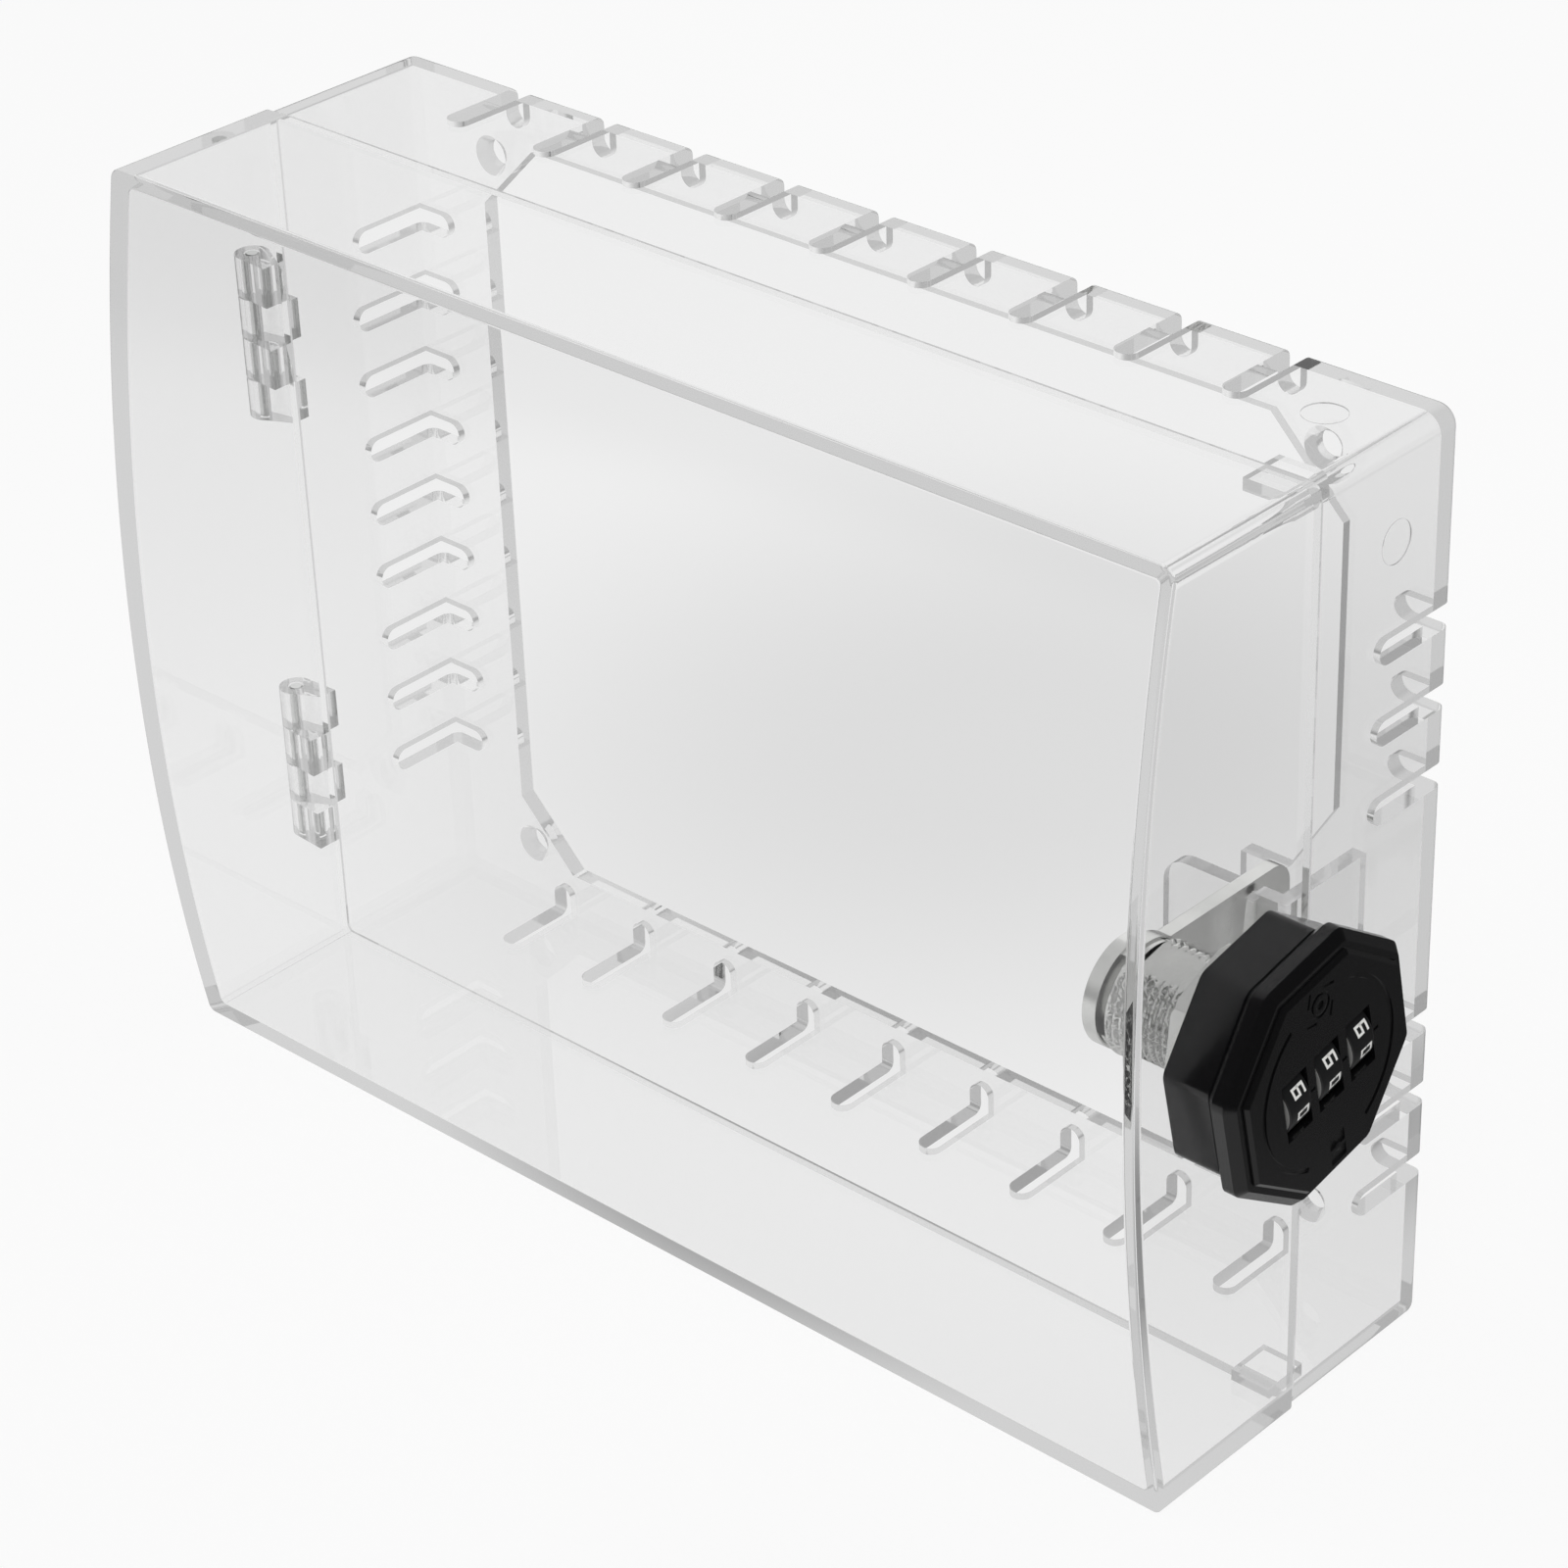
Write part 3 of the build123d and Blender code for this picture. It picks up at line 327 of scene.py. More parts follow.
def plain_plastic(name, colour, roughness):
    """Acetal, moulded: even colour and a dull shine."""
    material, tree = new_material(name)
    place = object_coordinates(tree)
    mottle = add_node(
        tree,
        "ShaderNodeTexNoise",
        inputs={"Vector": place, "Scale": 1 / (0.6 * MM), "Detail": 2.0},
    )
    rough = add_node(
        tree,
        "ShaderNodeMapRange",
        inputs={
            "Value": mottle.outputs["Fac"],
            "To Min": roughness * 0.85,
            "To Max": roughness * 1.15,
        },
    )
    shader = add_node(
        tree,
        "ShaderNodeBsdfPrincipled",
        inputs={
            "Base Color": linear(colour),
            "Roughness": rough.outputs["Result"],
            "IOR": 1.48,
        },
    )
    return finish_material(material, shader)


POLYCARBONATE = clear_plastic("moulded clear polycarbonate", "#FBFBFB", 0.01)
NYLON = black_moulding("moulded black nylon")
ACETAL = plain_plastic("moulded black acetal", "#1A1A1B", 0.42)
DIGIT_INK = plain_plastic("white digit filling", "#EDEDEA", 0.5)
# Pale grey only for the wheels' front-facing sides: bare acetal with a painted sheen
WHEEL_SIDE_SHEEN = plain_plastic("grey acetal with painted sheen", "#8C8C8A", 0.4)
ZINC = plated_metal("die-cast zinc, nickel plated", "#F0F0EE", 0.22, turned=True)
STEEL = plated_metal("pressed steel, zinc plated", "#F0F0EE", 0.24)
PIN_STEEL = plated_metal("polished steel wire", "#D8D9D8", 0.12)
RUBBER = plain_plastic("black rubber", "#151515", 0.7)

FINISH = {
    "base_shell": POLYCARBONATE,
    "cover_shell": POLYCARBONATE,
    "upper_hinge_pin": PIN_STEEL,
    "lower_hinge_pin": PIN_STEEL,
    "lock_barrel": ZINC,
    "lock_nut": STEEL,
    "collar_seal": RUBBER,
    "lock_collar": NYLON,
    "knob_housing": NYLON,
    "face_plate": NYLON,
    "spindle": ZINC,
    "knob_screws": STEEL,
    "wheel_axle": PIN_STEEL,
    "locking_bar": ZINC,
    "locking_bar_springs": PIN_STEEL,
    "click_spring": STEEL,
    "stop_washer": STEEL,
    "lock_hook": STEEL,
    "hook_washer": STEEL,
    "hook_screw": STEEL,
}
for index in (1, 2, 3):
    FINISH[f"number_wheel_{index}"] = ACETAL
    FINISH[f"code_sleeve_{index}"] = ZINC

BODY_OF = {
    node: body for body, nodes in frame["record"]["behaviour"]["bodies"].items() for node in nodes
}


def paint(piece, material):
    piece.data.materials.clear()
    piece.data.materials.append(material)


for name, node in NODES.items():
    paint(node, FINISH[name])


def only(piece):
    bpy.ops.object.select_all(action="DESELECT")
    piece.select_set(True)
    bpy.context.view_layer.objects.active = piece


def block(name, low, high):
    """A plain block between two corners, as the start of a piece."""
    bpy.ops.object.select_all(action="DESELECT")
    bpy.ops.mesh.primitive_cube_add(size=1, location=(Vector(low) + Vector(high)) / 2)
    piece = bpy.context.object
    piece.name = name
    piece.scale = Vector(high) - Vector(low)
    bpy.ops.object.transform_apply(location=True, rotation=True, scale=True)
    return piece


def round_edges(piece, chosen, radius, segments):
    """Rounds each edge that chosen(edge) picks, by this radius."""
    only(piece)
    bpy.ops.object.mode_set(mode="EDIT")
    bpy.ops.mesh.select_mode(type="EDGE")
    bpy.ops.mesh.select_all(action="DESELECT")
    mesh = bmesh.from_edit_mesh(piece.data)
    mesh.normal_update()
    for edge in mesh.edges:
        edge.select_set(chosen(edge))
    mesh.select_flush_mode()
    bmesh.update_edit_mesh(piece.data)
    bpy.ops.mesh.bevel(offset=radius, segments=segments, profile=0.5, affect="EDGES")
    bpy.ops.object.mode_set(mode="OBJECT")


def runs_along_y(edge):
    start, end = (vertex.co for vertex in edge.verts)
    return abs((end - start).normalized().y) > ALONG_Y


def is_front_rim(edge):
    """True where the arched front meets a side wall."""
    slants = sorted(abs(face.normal.y) for face in edge.link_faces)
    before_seam = edge.verts[0].co.y < SEAM_Y - WALL
    return slants[0] < SIDE_SLANT and slants[-1] > FRONT_SLANT and before_seam


def arch_y(z, radius):
    return ARCH_MIDDLE_Y - math.sqrt(radius**2 - z**2)


def arched_block(name, half_width, half_height, back_y, arch, corner, front_edge):
    """A block with round corners whose front bows forward between top and bottom."""
    start_y = arch_y(half_height, arch)
    piece = block(
        name, (-half_width, start_y, -half_height), (half_width, back_y, half_height)
    )
    round_edges(piece, runs_along_y, corner, CORNER_SEGMENTS)
    only(piece)
    bpy.ops.object.mode_set(mode="EDIT")
    for step in range(1, ARCH_STEPS):
        bpy.ops.mesh.select_all(action="SELECT")
        z = half_height * (2 * step / ARCH_STEPS - 1)
        bpy.ops.mesh.bisect(plane_co=(0, 0, z), plane_no=(0, 0, 1))
    bpy.ops.object.mode_set(mode="OBJECT")
    for vertex in piece.data.vertices:
        if vertex.co.y < start_y + 0.01 * MM:
            vertex.co.y = arch_y(vertex.co.z, arch)
    round_edges(piece, is_front_rim, front_edge, FRONT_EDGE_SEGMENTS)
    return piece


def join_shape(piece, tool, operation):
    """Cuts the tool out of the piece, or adds it, and removes the tool."""
    modifier = piece.modifiers.new("shape", "BOOLEAN")
    modifier.operation = operation
    modifier.solver = "EXACT"
    modifier.object = tool
    only(piece)
    bpy.ops.object.modifier_apply(modifier=modifier.name)
    bpy.data.objects.remove(tool, do_unlink=True)


def hinge_cylinder(name, bottom, top, radius):
    """An upright cylinder on the hinge's axis."""
    bpy.ops.object.select_all(action="DESELECT")
    bpy.ops.mesh.primitive_cylinder_add(
        vertices=KNUCKLE_SIDES,
        radius=radius,
        depth=top - bottom,
        location=(HINGE_X, SEAM_Y, (bottom + top) / 2),
    )
    piece = bpy.context.object
    piece.name = name
    bpy.ops.object.transform_apply(location=True, rotation=True, scale=True)
    return piece


def hinge_foot(name, side, bottom, top):
    """The web that joins a knuckle to its wall, on the +Y or -Y side of the seam."""
    bpy.ops.object.select_all(action="DESELECT")
    bpy.ops.mesh.primitive_circle_add(vertices=5, radius=MM, fill_type="NGON")
    piece = bpy.context.object
    piece.name = name
    outline = (
        (HINGE_X, SEAM_Y + side * (KNUCKLE_RADIUS - FOOT_OVERLAP)),
        (-HALF_WIDTH + FUSE, SEAM_Y + side * FOOT_DEPTH),
        (-HALF_WIDTH + FUSE, SEAM_Y + side * FOOT_NEAR),
        (
            HINGE_X + KNUCKLE_RADIUS * math.cos(WAIST_ANGLE),
            SEAM_Y - side * KNUCKLE_RADIUS * math.sin(WAIST_ANGLE),
        ),
        (HINGE_X, SEAM_Y),
    )
    for vertex, (x, y) in zip(piece.data.vertices, outline):
        vertex.co = (x, y, bottom)
    bpy.ops.object.mode_set(mode="EDIT")
    bpy.ops.mesh.select_all(action="SELECT")
    bpy.ops.mesh.extrude_region_move(TRANSFORM_OT_translate={"value": (0, 0, top - bottom)})
    bpy.ops.mesh.select_all(action="SELECT")
    bpy.ops.mesh.normals_make_consistent(inside=False)
    bpy.ops.object.mode_set(mode="OBJECT")
    return piece


def add_knuckles(piece, centre_z, ranks, side):
    """Hinge knuckles at these ranks, counted from the top, bored for the pin."""
    for rank in ranks:
        top = centre_z + HINGE_LENGTH / 2 - rank * KNUCKLE_LENGTH - KNUCKLE_GAP / 2
        bottom = top - (KNUCKLE_LENGTH - KNUCKLE_GAP)
        knuckle = hinge_cylinder("knuckle", bottom, top, KNUCKLE_RADIUS)
        join_shape(knuckle, hinge_foot("foot", side, bottom, top), "UNION")
        join_shape(piece, knuckle, "UNION")
    bore = hinge_cylinder(
        "bore", centre_z - HINGE_LENGTH / 2, centre_z + HINGE_LENGTH / 2, PIN_BORE
    )
    join_shape(piece, bore, "DIFFERENCE")


def lock_hole():
    """Round cutter with two flats, square to the right wall."""
    bpy.ops.object.select_all(action="DESELECT")
    bpy.ops.mesh.primitive_cylinder_add(
        vertices=BARREL_HOLE_SIDES,
        radius=BARREL_HOLE_RADIUS,
        depth=4 * WALL,
        location=(HALF_WIDTH - WALL / 2, LOCK_Y, LOCK_Z),
        rotation=(0, math.pi / 2, 0),
    )
    piece = bpy.context.object
    bpy.ops.object.transform_apply(location=True, rotation=True, scale=True)
    for vertex in piece.data.vertices:
        away = vertex.co - LOCK_CENTRE
        across = away.dot(ACROSS)
        limited = max(-BARREL_HOLE_HALF_FLATS, min(BARREL_HOLE_HALF_FLATS, across))
        vertex.co += (limited - across) * ACROSS
    return piece


def soften(piece, width, segments=2):
    """Makes flat faces whole, rounds sharp edges a little and lets flat faces lead the shading."""
    only(piece)
    bpy.ops.object.mode_set(mode="EDIT")
    bpy.ops.mesh.select_all(action="SELECT")
    bpy.ops.mesh.remove_doubles(threshold=MERGE_DISTANCE)
    bpy.ops.mesh.dissolve_limited(angle_limit=FLAT_ANGLE)
    bpy.ops.object.mode_set(mode="OBJECT")
    if width:
        modifier = piece.modifiers.new("edges", "BEVEL")
        modifier.width = width
        modifier.segments = segments
        modifier.limit_method = "ANGLE"
        modifier.angle_limit = SHARP_ANGLE
        modifier.use_clamp_overlap = True
        bpy.ops.object.modifier_apply(modifier=modifier.name)
    bpy.ops.object.shade_smooth_by_angle(angle=SHARP_ANGLE)
    normals = piece.modifiers.new("flats lead", "WEIGHTED_NORMAL")
    normals.keep_sharp = True
    normals.weight = 100
    bpy.ops.object.modifier_apply(modifier=normals.name)


def stand_for(piece, node):
    """Gives a piece the finish and the body of the CAD node that it replaces, and hides that node.
    """
    paint(piece, FINISH[node])
    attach(piece, BODY_OF[node])
    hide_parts(node)


def copy_of(node, name):
    """A new piece with its own copy of a CAD node's mesh."""
    piece = bpy.data.objects.new(name, NODES[node].data.copy())
    bpy.context.scene.collection.objects.link(piece)
    return piece


def refined(node, name, width, segments=2):
    """A copy of a CAD node with small rounded edges."""
    piece = copy_of(node, name)
    soften(piece, width, segments)
    stand_for(piece, node)


def build_cover():
    """Clear cover: four walls and an arched front, with half of the hinge knuckles."""
    cover = arched_block(
        "cover",
        HALF_WIDTH,
        HALF_HEIGHT,
        SEAM_Y - SEAM_GAP / 2,
        OUTER_ARCH,
        CORNER_RADIUS,
        FRONT_EDGE_RADIUS,
    )
    cavity = arched_block(
        "cavity",
        HALF_WIDTH - WALL,
        HALF_HEIGHT - WALL,
        SEAM_Y + WALL,
        INNER_ARCH,
        INNER_CORNER_RADIUS,
        INNER_FRONT_RADIUS,
    )
    join_shape(cover, cavity, "DIFFERENCE")
    join_shape(cover, lock_hole(), "DIFFERENCE")
    add_knuckles(cover, UPPER_HINGE_Z, (0, 2), -1)
    add_knuckles(cover, LOWER_HINGE_Z, (1, 3), -1)
    soften(cover, 0.12 * MM)
    stand_for(cover, "cover_shell")


build_cover()
refined("base_shell", "base", 0.12 * MM)
refined("lock_collar", "collar", 0.9 * MM, segments=4)
refined("knob_housing", "knob", 0.9 * MM, segments=4)
refined("face_plate", "knob_face", 0.12 * MM)
refined("lock_nut", "nut", 0.25 * MM)
refined("lock_hook", "hook", 0.25 * MM)
refined("hook_screw", "hook_screw_head", 0.2 * MM)
refined("hook_washer", "hook_washer_disc", 0.15 * MM)
refined("lock_barrel", "barrel", 0)


# Digits: strokes of seven bars, in units of half the digit's width and height. The wheels are
# shaved so that the digits stand a little proud of them and still stay inside the CAD's wheels.
DIGIT_HEIGHT = 2.55 * MM
DIGIT_WIDTH = 1.8 * MM
STROKE = 0.42 * MM
DIGIT_ASIDE = 0.4 * MM
DIGIT_SINK = 0.01 * MM
BAR_STEPS = (6, 2)
WHEEL_SHAVE = 0.05 * MM
WHEEL_EDGE = 0.15 * MM
SIDE_FACING = 0.9
BARS = {
    "top": ((-1, 1), (1, 1)),
    "upper right": ((1, 1), (1, 0)),
    "lower right": ((1, 0), (1, -1)),
    "bottom": ((-1, -1), (1, -1)),
    "lower left": ((-1, 0), (-1, -1)),
    "upper left": ((-1, 1), (-1, 0)),
    "middle": ((-1, 0), (1, 0)),
}
SHAPES = {
    0: ("top", "upper right", "lower right", "bottom", "lower left", "upper left"),
    1: ("upper right", "lower right"),
    2: ("top", "upper right", "middle", "lower left", "bottom"),
    3: ("top", "upper right", "middle", "lower right", "bottom"),
    4: ("upper left", "middle", "upper right", "lower right"),
    5: ("top", "upper left", "middle", "lower right", "bottom"),
    6: ("top", "upper left", "middle", "lower left", "lower right", "bottom"),
    7: ("top", "upper right", "lower right"),
    8: tuple(BARS),
    9: ("top", "upper left", "upper right", "middle", "lower right", "bottom"),
}
FIRST_ANGLE = math.radians(-12)
DIGIT_STEP = math.radians(36)


def digit_ring(piece_name, place):
    """Ten white digits round one wheel. Their tops point to the front of the box."""
    bpy.ops.object.select_all(action="DESELECT")
    bars = []
    half_w = (DIGIT_WIDTH - STROKE) / 2
    half_h = (DIGIT_HEIGHT - STROKE) / 2
    for digit, names in SHAPES.items():
        for bar in names:
            (x0, y0), (x1, y1) = BARS[bar]
            # The digit's number is kept as a height until the bars are wrapped round the wheel
            middle = ((x0 + x1) / 2 * half_w, (y0 + y1) / 2 * half_h, digit)
            length_x = abs(x1 - x0) * half_w + STROKE
            length_y = abs(y1 - y0) * half_h + STROKE
            bpy.ops.mesh.primitive_grid_add(
                x_subdivisions=BAR_STEPS[0],
                y_subdivisions=BAR_STEPS[1],
                size=1,
                location=middle,
            )
            bar_piece = bpy.context.object
            bar_piece.scale = (length_x, length_y, 1)
            bars.append(bar_piece)
    bpy.ops.object.select_all(action="DESELECT")
    for bar_piece in bars:
        bar_piece.select_set(True)
    bpy.context.view_layer.objects.active = bars[0]
    bpy.ops.object.transform_apply(location=True, rotation=True, scale=True)
    bpy.ops.object.join()
    piece = bpy.context.object
    piece.name = piece_name
    radius = WHEEL_RADIUS - DIGIT_SINK
    axle = Vector((AXLE_X, LOCK_Y, LOCK_Z)) + ROW * (place + DIGIT_ASIDE)
    for vertex in piece.data.vertices:
        digit = round(vertex.co.z)
        # Digit 9 is above digit 0, so the numbers rise as the wheel is read downwards
        angle = FIRST_ANGLE - digit * DIGIT_STEP + vertex.co.x / radius
        out = OUTWARD * math.cos(angle) + ACROSS * math.sin(angle)
        vertex.co = axle + out * radius - ROW * vertex.co.y
    paint(piece, DIGIT_INK)
    return piece


def number_wheel(node, name):
    """A number wheel a hair thinner than in the CAD, so that its digits stay inside the box."""
    piece = copy_of(node, name)
    only(piece)
    bpy.ops.object.mode_set(mode="EDIT")
    bpy.ops.mesh.select_all(action="SELECT")
    bpy.ops.mesh.remove_doubles(threshold=MERGE_DISTANCE)
    bpy.ops.transform.shrink_fatten(value=-WHEEL_SHAVE)
    bpy.ops.object.mode_set(mode="OBJECT")
    soften(piece, WHEEL_EDGE)
    stand_for(piece, node)
    # The side that faces the front of the box is painted paler than the rim: partly its bare grey
    # side, partly a painted sheen for the light that this side catches
    piece.data.materials.append(WHEEL_SIDE_SHEEN)
    for polygon in piece.data.polygons:
        if polygon.normal.dot(ROW) < -SIDE_FACING:
            polygon.material_index = 1


for index, place in enumerate((-WHEEL_PITCH, 0, WHEEL_PITCH), start=1):
    number_wheel(f"number_wheel_{index}", f"code_wheel_{index}")
    ring = digit_ring(f"wheel_digits_{index}", place)
    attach(ring, f"wheel_{index}")


# Studio: a white sweep in a pale room. Seen straight, the sweep is evenly white; gloss and plastic
# see it glow with painted light and painted shade round given places, by the light's way: straight
# through, turned once inside a wall, caught (turned twice or more), or only mirrored.
FLOOR_SIZE = 30
FLOOR_GAP = 0.2 * MM
SWEEP_WHITENESS = 0.85
# Through the plastic the sweep glows dimmer near the box, a painted shade, and brighter further off
SWEEP_THROUGH = 0.74
SWEEP_THROUGH_FAR = 0.9
THROUGH_MIDDLE = (-0.06, 0.09, 0)
THROUGH_NEAR = 0.02
THROUGH_FAR = 0.15
# In plain reflections a bright patch glows in front of the box: a painted reflection that fades
# further off
MIRROR_MIDDLE = (-0.1, -0.3, 0)
MIRROR_NEAR = 0.25
MIRROR_FAR = 0.45
MIRROR_BRIGHT = 0.75
MIRROR_DIM = 0.1
# Light caught inside a wall sees a dark patch under the box: a painted shade, with a middle tone
# elsewhere
CAUGHT_MIDDLE = (0, 0, 0)
CAUGHT_NEAR = 0.02
CAUGHT_FAR = 0.08
CAUGHT_PAINTED_SHADE = 0.32
CAUGHT_REST = 0.68
# Light turned once sees a bright patch in front and to the left: painted light that fades further
# off
TURNED_MIDDLE = (-0.3, -0.15, 0)
TURNED_NEAR = 0.2
TURNED_FAR = 0.6
TURNED_PAINTED_LIGHT = 0.9
TURNED_DIM = 0.35
SKY_TURNED_LOW = 0.3
SKY_TURNED_HIGH = 0.65
SOFT_LIGHT = 0.3
SKY_THROUGH = 0.7
SKY_CAUGHT = 0.55
SKY_MIRROR_DIM = 0.05
SKY_MIRROR_BRIGHT = 1.0
BACKDROP_WAY = (-0.5, 0.7, 0.5)
BACKDROP_EDGE = 0.75
BACKDROP_FULL = 0.98
TURNED_HEIGHT = 0.45


def painted_floor_glow(tree, place, middle, near, far, first, last):
    """Strength of the glow painted on the sweep, as painted light and painted shade, which changes
    with the distance from one place on it.
    """
    away = add_node(
        tree,
        "ShaderNodeVectorMath",
        settings={"operation": "SUBTRACT"},
        inputs={0: place, 1: middle},
    )
    distance = add_node(
        tree,
        "ShaderNodeVectorMath",
        settings={"operation": "LENGTH"},
        inputs={0: away.outputs["Vector"]},
    )
    fading = add_node(
        tree,
        "ShaderNodeMapRange",
        settings={"interpolation_type": "SMOOTHSTEP"},
        inputs={
            "Value": distance.outputs["Value"],
            "From Min": near,
            "From Max": far,
            "To Min": first,
            "To Max": last,
        },
    )
    return fading.outputs["Result"]


def tone_by_way(tree, path, through, turned, mirrored, caught):
    """Strength by the light's way, for the room's light and for the sweep's painted light and
    shade, and a mark for light in gloss or plastic.
    """
    once = add_node(
        tree,
        "ShaderNodeMath",
        settings={"operation": "GREATER_THAN"},
        inputs={0: path.outputs["Glossy Depth"], 1: TURNED_ONCE},
    )
    twice = add_node(
        tree,
        "ShaderNodeMath",
        settings={"operation": "GREATER_THAN"},
        inputs={0: path.outputs["Glossy Depth"], 1: TURNED_TWICE},
    )
    passed = add_node(tree, "ShaderNodeMix", inputs={0: once.outputs[0], 2: through, 3: turned})
    bent = add_node(
        tree,
        "ShaderNodeMix",
        inputs={0: path.outputs["Is Transmission Ray"], 2: mirrored, 3: passed.outputs[0]},
    )
    strength = add_node(
        tree, "ShaderNodeMix", inputs={0: twice.outputs[0], 2: bent.outputs[0], 3: caught}
    )
    in_gloss = add_node(
        tree,
        "ShaderNodeMath",
        settings={"operation": "MAXIMUM"},
        inputs={0: path.outputs["Is Glossy Ray"], 1: path.outputs["Is Transmission Ray"]},
    )
    return strength.outputs[0], in_gloss.outputs[0]


def build_floor():
    """Pale sweep: white where it is seen; in reflections and through plastic it glows with painted
    light and painted shade.
    """
    bpy.ops.object.select_all(action="DESELECT")
    bpy.ops.mesh.primitive_plane_add(size=FLOOR_SIZE, location=(0, 0, cad_low.z - FLOOR_GAP))
    floor = bpy.context.object
    floor.name = "floor"
    material, tree = new_material("white sweep")
    surface = add_node(tree, "ShaderNodeBsdfDiffuse", inputs={"Color": linear("#F0F0F0")})
    white = add_node(
        tree, "ShaderNodeEmission", inputs={"Color": linear("#FFFFFF"), "Strength": 1.0}
    )
    place = add_node(tree, "ShaderNodeTexCoord").outputs["Object"]
    # Painted glow patches: painted shade near the box through the plastic, a painted reflection in
    # front, painted light for light turned once, and painted shade under the box for caught light
    through = painted_floor_glow(
        tree, place, THROUGH_MIDDLE, THROUGH_NEAR, THROUGH_FAR, SWEEP_THROUGH, SWEEP_THROUGH_FAR
    )
    mirrored = painted_floor_glow(
        tree, place, MIRROR_MIDDLE, MIRROR_NEAR, MIRROR_FAR, MIRROR_BRIGHT, MIRROR_DIM
    )
    turned = painted_floor_glow(
        tree, place, TURNED_MIDDLE, TURNED_NEAR, TURNED_FAR, TURNED_PAINTED_LIGHT, TURNED_DIM
    )
    caught = painted_floor_glow(
        tree, place, CAUGHT_MIDDLE, CAUGHT_NEAR, CAUGHT_FAR, CAUGHT_PAINTED_SHADE, CAUGHT_REST
    )
    path = add_node(tree, "ShaderNodeLightPath")
    strength, in_gloss = tone_by_way(tree, path, through, turned, mirrored, caught)
    # Gloss and plastic see this painted glow of the sweep
    painted_glow = add_node(
        tree, "ShaderNodeEmission", inputs={"Color": linear("#FFFFFF"), "Strength": strength}
    )
    unseen = add_node(
        tree,
        "ShaderNodeMixShader",
        inputs={0: in_gloss, 1: surface.outputs[0], 2: painted_glow.outputs[0]},
    )
    sight = add_node(
        tree,
        "ShaderNodeMixShader",
        inputs={0: SWEEP_WHITENESS, 1: surface.outputs[0], 2: white.outputs[0]},
    )
    mixed = add_node(
        tree,
        "ShaderNodeMixShader",
        inputs={0: path.outputs["Is Camera Ray"], 1: unseen.outputs[0], 2: sight.outputs[0]},
    )
    paint(floor, finish_material(material, mixed))


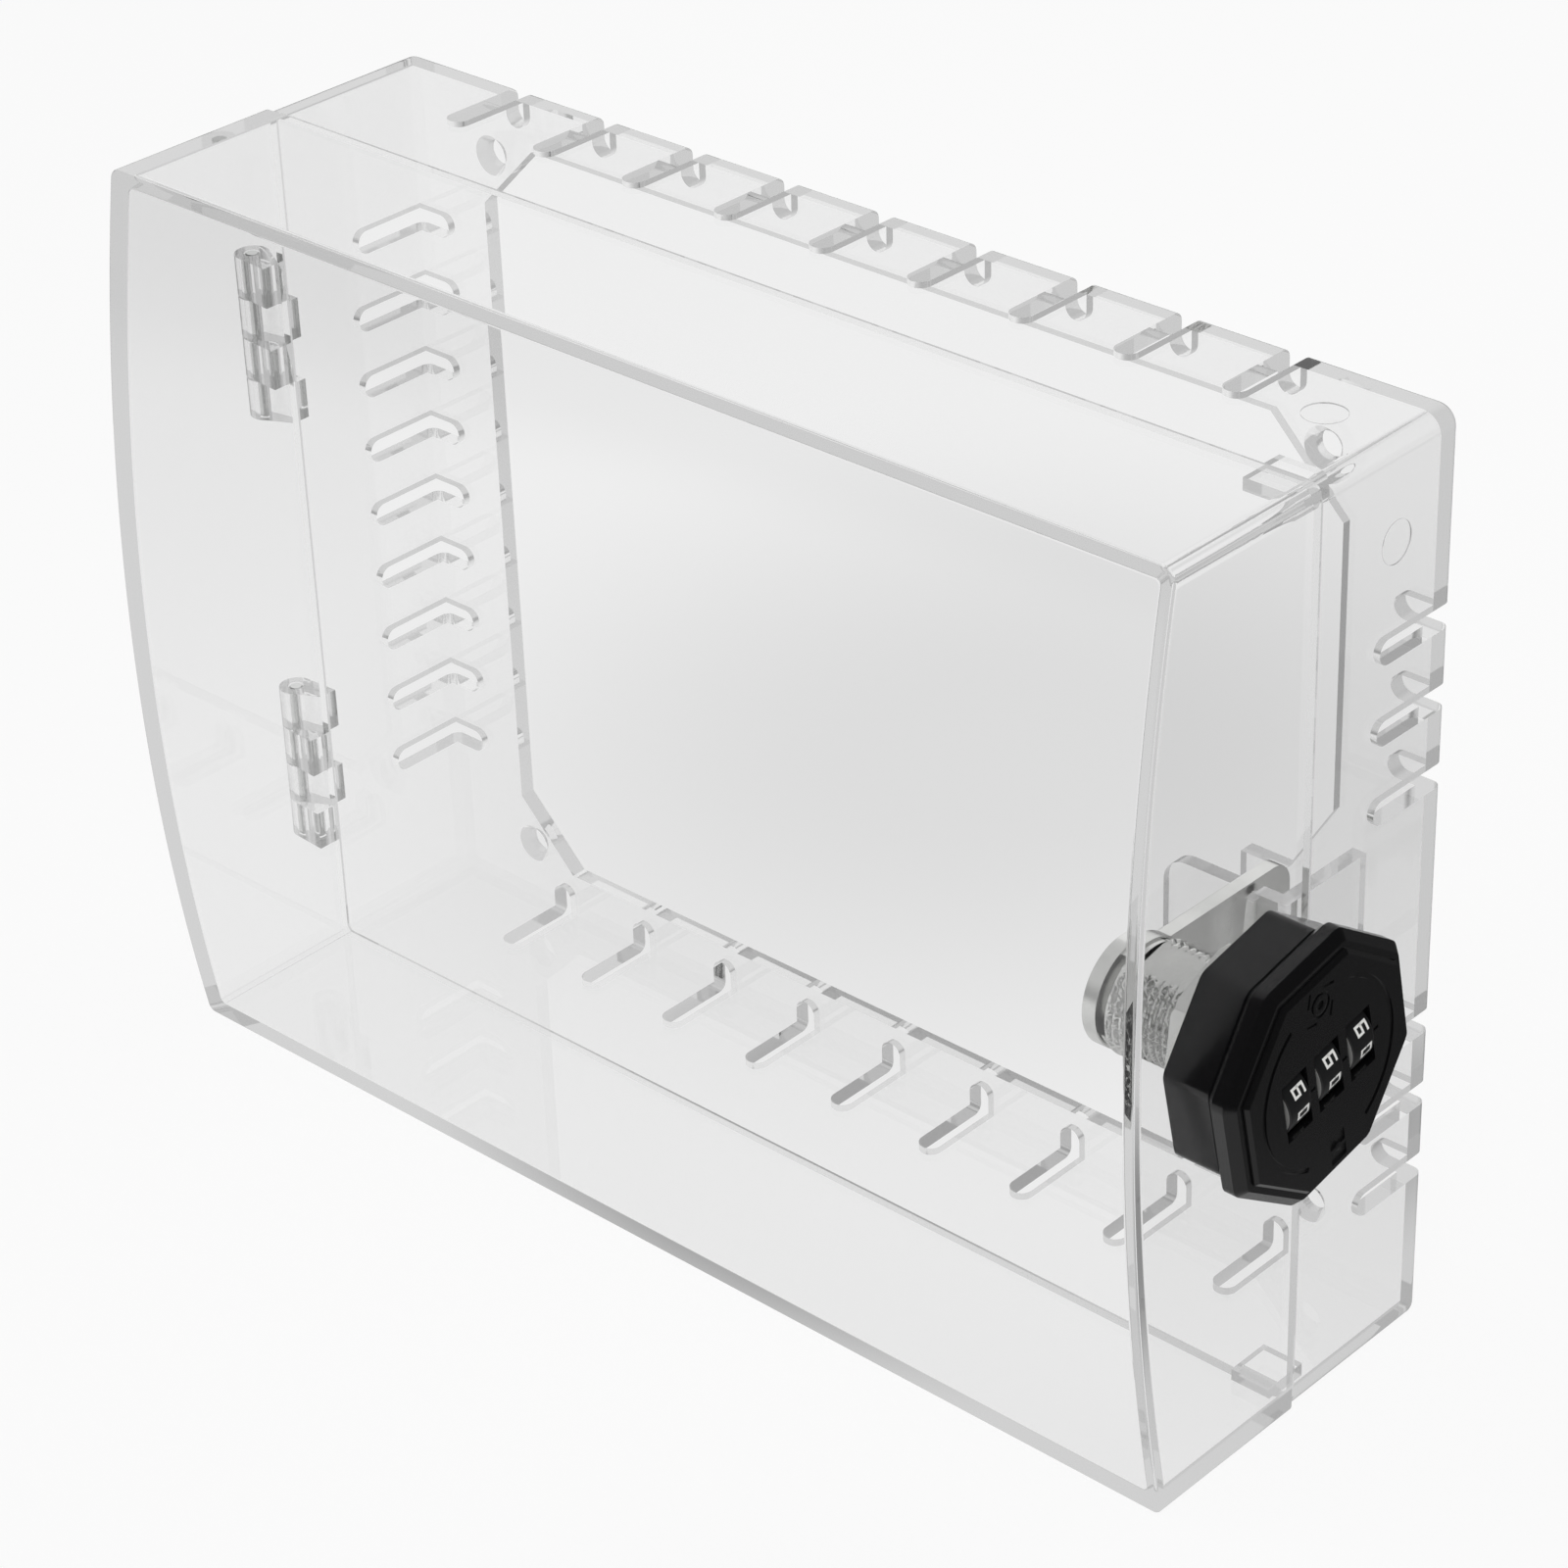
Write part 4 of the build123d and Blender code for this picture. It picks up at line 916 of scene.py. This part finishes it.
def build_world():
    """White behind the object, soft light on it, and a plain pale room in gloss and glass."""
    world = bpy.data.worlds.new("studio")
    bpy.context.scene.world = world
    world.use_nodes = True
    tree = world.node_tree
    tree.nodes.clear()
    path = add_node(tree, "ShaderNodeLightPath")
    direction = add_node(tree, "ShaderNodeTexCoord")
    height = add_node(
        tree, "ShaderNodeSeparateXYZ", inputs={0: direction.outputs["Generated"]}
    )
    # In plain reflections the white backdrop is behind the box and above it, and the rest is dim
    backdrop = add_node(
        tree,
        "ShaderNodeVectorMath",
        settings={"operation": "DOT_PRODUCT"},
        inputs={0: direction.outputs["Generated"], 1: Vector(BACKDROP_WAY).normalized()},
    )
    mirrored = add_node(
        tree,
        "ShaderNodeMapRange",
        settings={"interpolation_type": "SMOOTHSTEP"},
        inputs={
            "Value": backdrop.outputs["Value"],
            "From Min": BACKDROP_EDGE,
            "From Max": BACKDROP_FULL,
            "To Min": SKY_MIRROR_DIM,
            "To Max": SKY_MIRROR_BRIGHT,
        },
    )
    turned = add_node(
        tree,
        "ShaderNodeMapRange",
        settings={"interpolation_type": "SMOOTHSTEP"},
        inputs={
            "Value": height.outputs["Z"],
            "From Min": 0.0,
            "From Max": TURNED_HEIGHT,
            "To Min": SKY_TURNED_LOW,
            "To Max": SKY_TURNED_HIGH,
        },
    )
    strength, in_gloss = tone_by_way(
        tree, path, SKY_THROUGH, turned.outputs["Result"], mirrored.outputs["Result"], SKY_CAUGHT
    )
    gloss = add_node(
        tree, "ShaderNodeBackground", inputs={"Color": linear("#FFFFFF"), "Strength": strength}
    )
    white = add_node(
        tree, "ShaderNodeBackground", inputs={"Color": linear("#FFFFFF"), "Strength": 1.0}
    )
    soft = add_node(
        tree, "ShaderNodeBackground", inputs={"Color": linear("#F5F5F5"), "Strength": SOFT_LIGHT}
    )
    lit = add_node(
        tree,
        "ShaderNodeMixShader",
        inputs={0: in_gloss, 1: soft.outputs[0], 2: gloss.outputs[0]},
    )
    shown = add_node(
        tree,
        "ShaderNodeMixShader",
        inputs={0: path.outputs["Is Camera Ray"], 1: lit.outputs[0], 2: white.outputs[0]},
    )
    add_node(tree, "ShaderNodeOutputWorld", inputs={"Surface": shown.outputs[0]})


def add_lamp(name, place, size, power):
    """A softbox that faces the middle of the box."""
    lamp = bpy.data.lights.new(name, "AREA")
    lamp.shape = "RECTANGLE"
    lamp.size, lamp.size_y = size
    lamp.energy = power
    holder = bpy.data.objects.new(name, lamp)
    bpy.context.scene.collection.objects.link(holder)
    # The lamps light the box, and gloss and glass show the room and the sweep's painted light and
    # shade instead of the lamps
    holder.visible_transmission = False
    holder.visible_glossy = False
    holder.location = place
    holder.rotation_euler = (-Vector(place)).to_track_quat("-Z", "Y").to_euler()


# Lens and sensor in millimetres, shift in picture widths
CAMERA_SENSOR = 36.0
CAMERA_LENS = 103.81
CAMERA_SHIFT = (-0.0681, 0.0528)
CAMERA_NEAR = 0.01
CAMERA_FAR = 100
CAMERA_PLACE = Vector((422.76, -467.85, 350.06)) * MM
CAMERA_RIGHT = Vector((0.74798, 0.66341, -0.02024))
CAMERA_UP = Vector((-0.33470, 0.40336, 0.85163))


def build_camera():
    """The photograph's camera: long lens, to the right of the box and above it."""
    camera = bpy.data.cameras.new("camera")
    camera.sensor_width = CAMERA_SENSOR
    camera.lens = CAMERA_LENS
    camera.shift_x, camera.shift_y = CAMERA_SHIFT
    camera.clip_start = CAMERA_NEAR
    camera.clip_end = CAMERA_FAR
    holder = bpy.data.objects.new("camera", camera)
    bpy.context.scene.collection.objects.link(holder)
    right = CAMERA_RIGHT.normalized()
    back = right.cross(CAMERA_UP).normalized()
    up = back.cross(right)
    turn = Matrix((right, up, back)).transposed().to_4x4()
    holder.matrix_world = Matrix.Translation(CAMERA_PLACE) @ turn
    bpy.context.scene.camera = holder


build_floor()
build_world()
add_lamp("key", (0.9, -1.1, 1.5), (0.9, 0.9), 18)
add_lamp("fill", (-1.3, -0.9, 0.7), (1.0, 1.0), 7)
add_lamp("rim", (0.3, 1.2, 1.1), (1.2, 0.5), 9)
build_camera()
bpy.context.scene.view_settings.view_transform = "Standard"
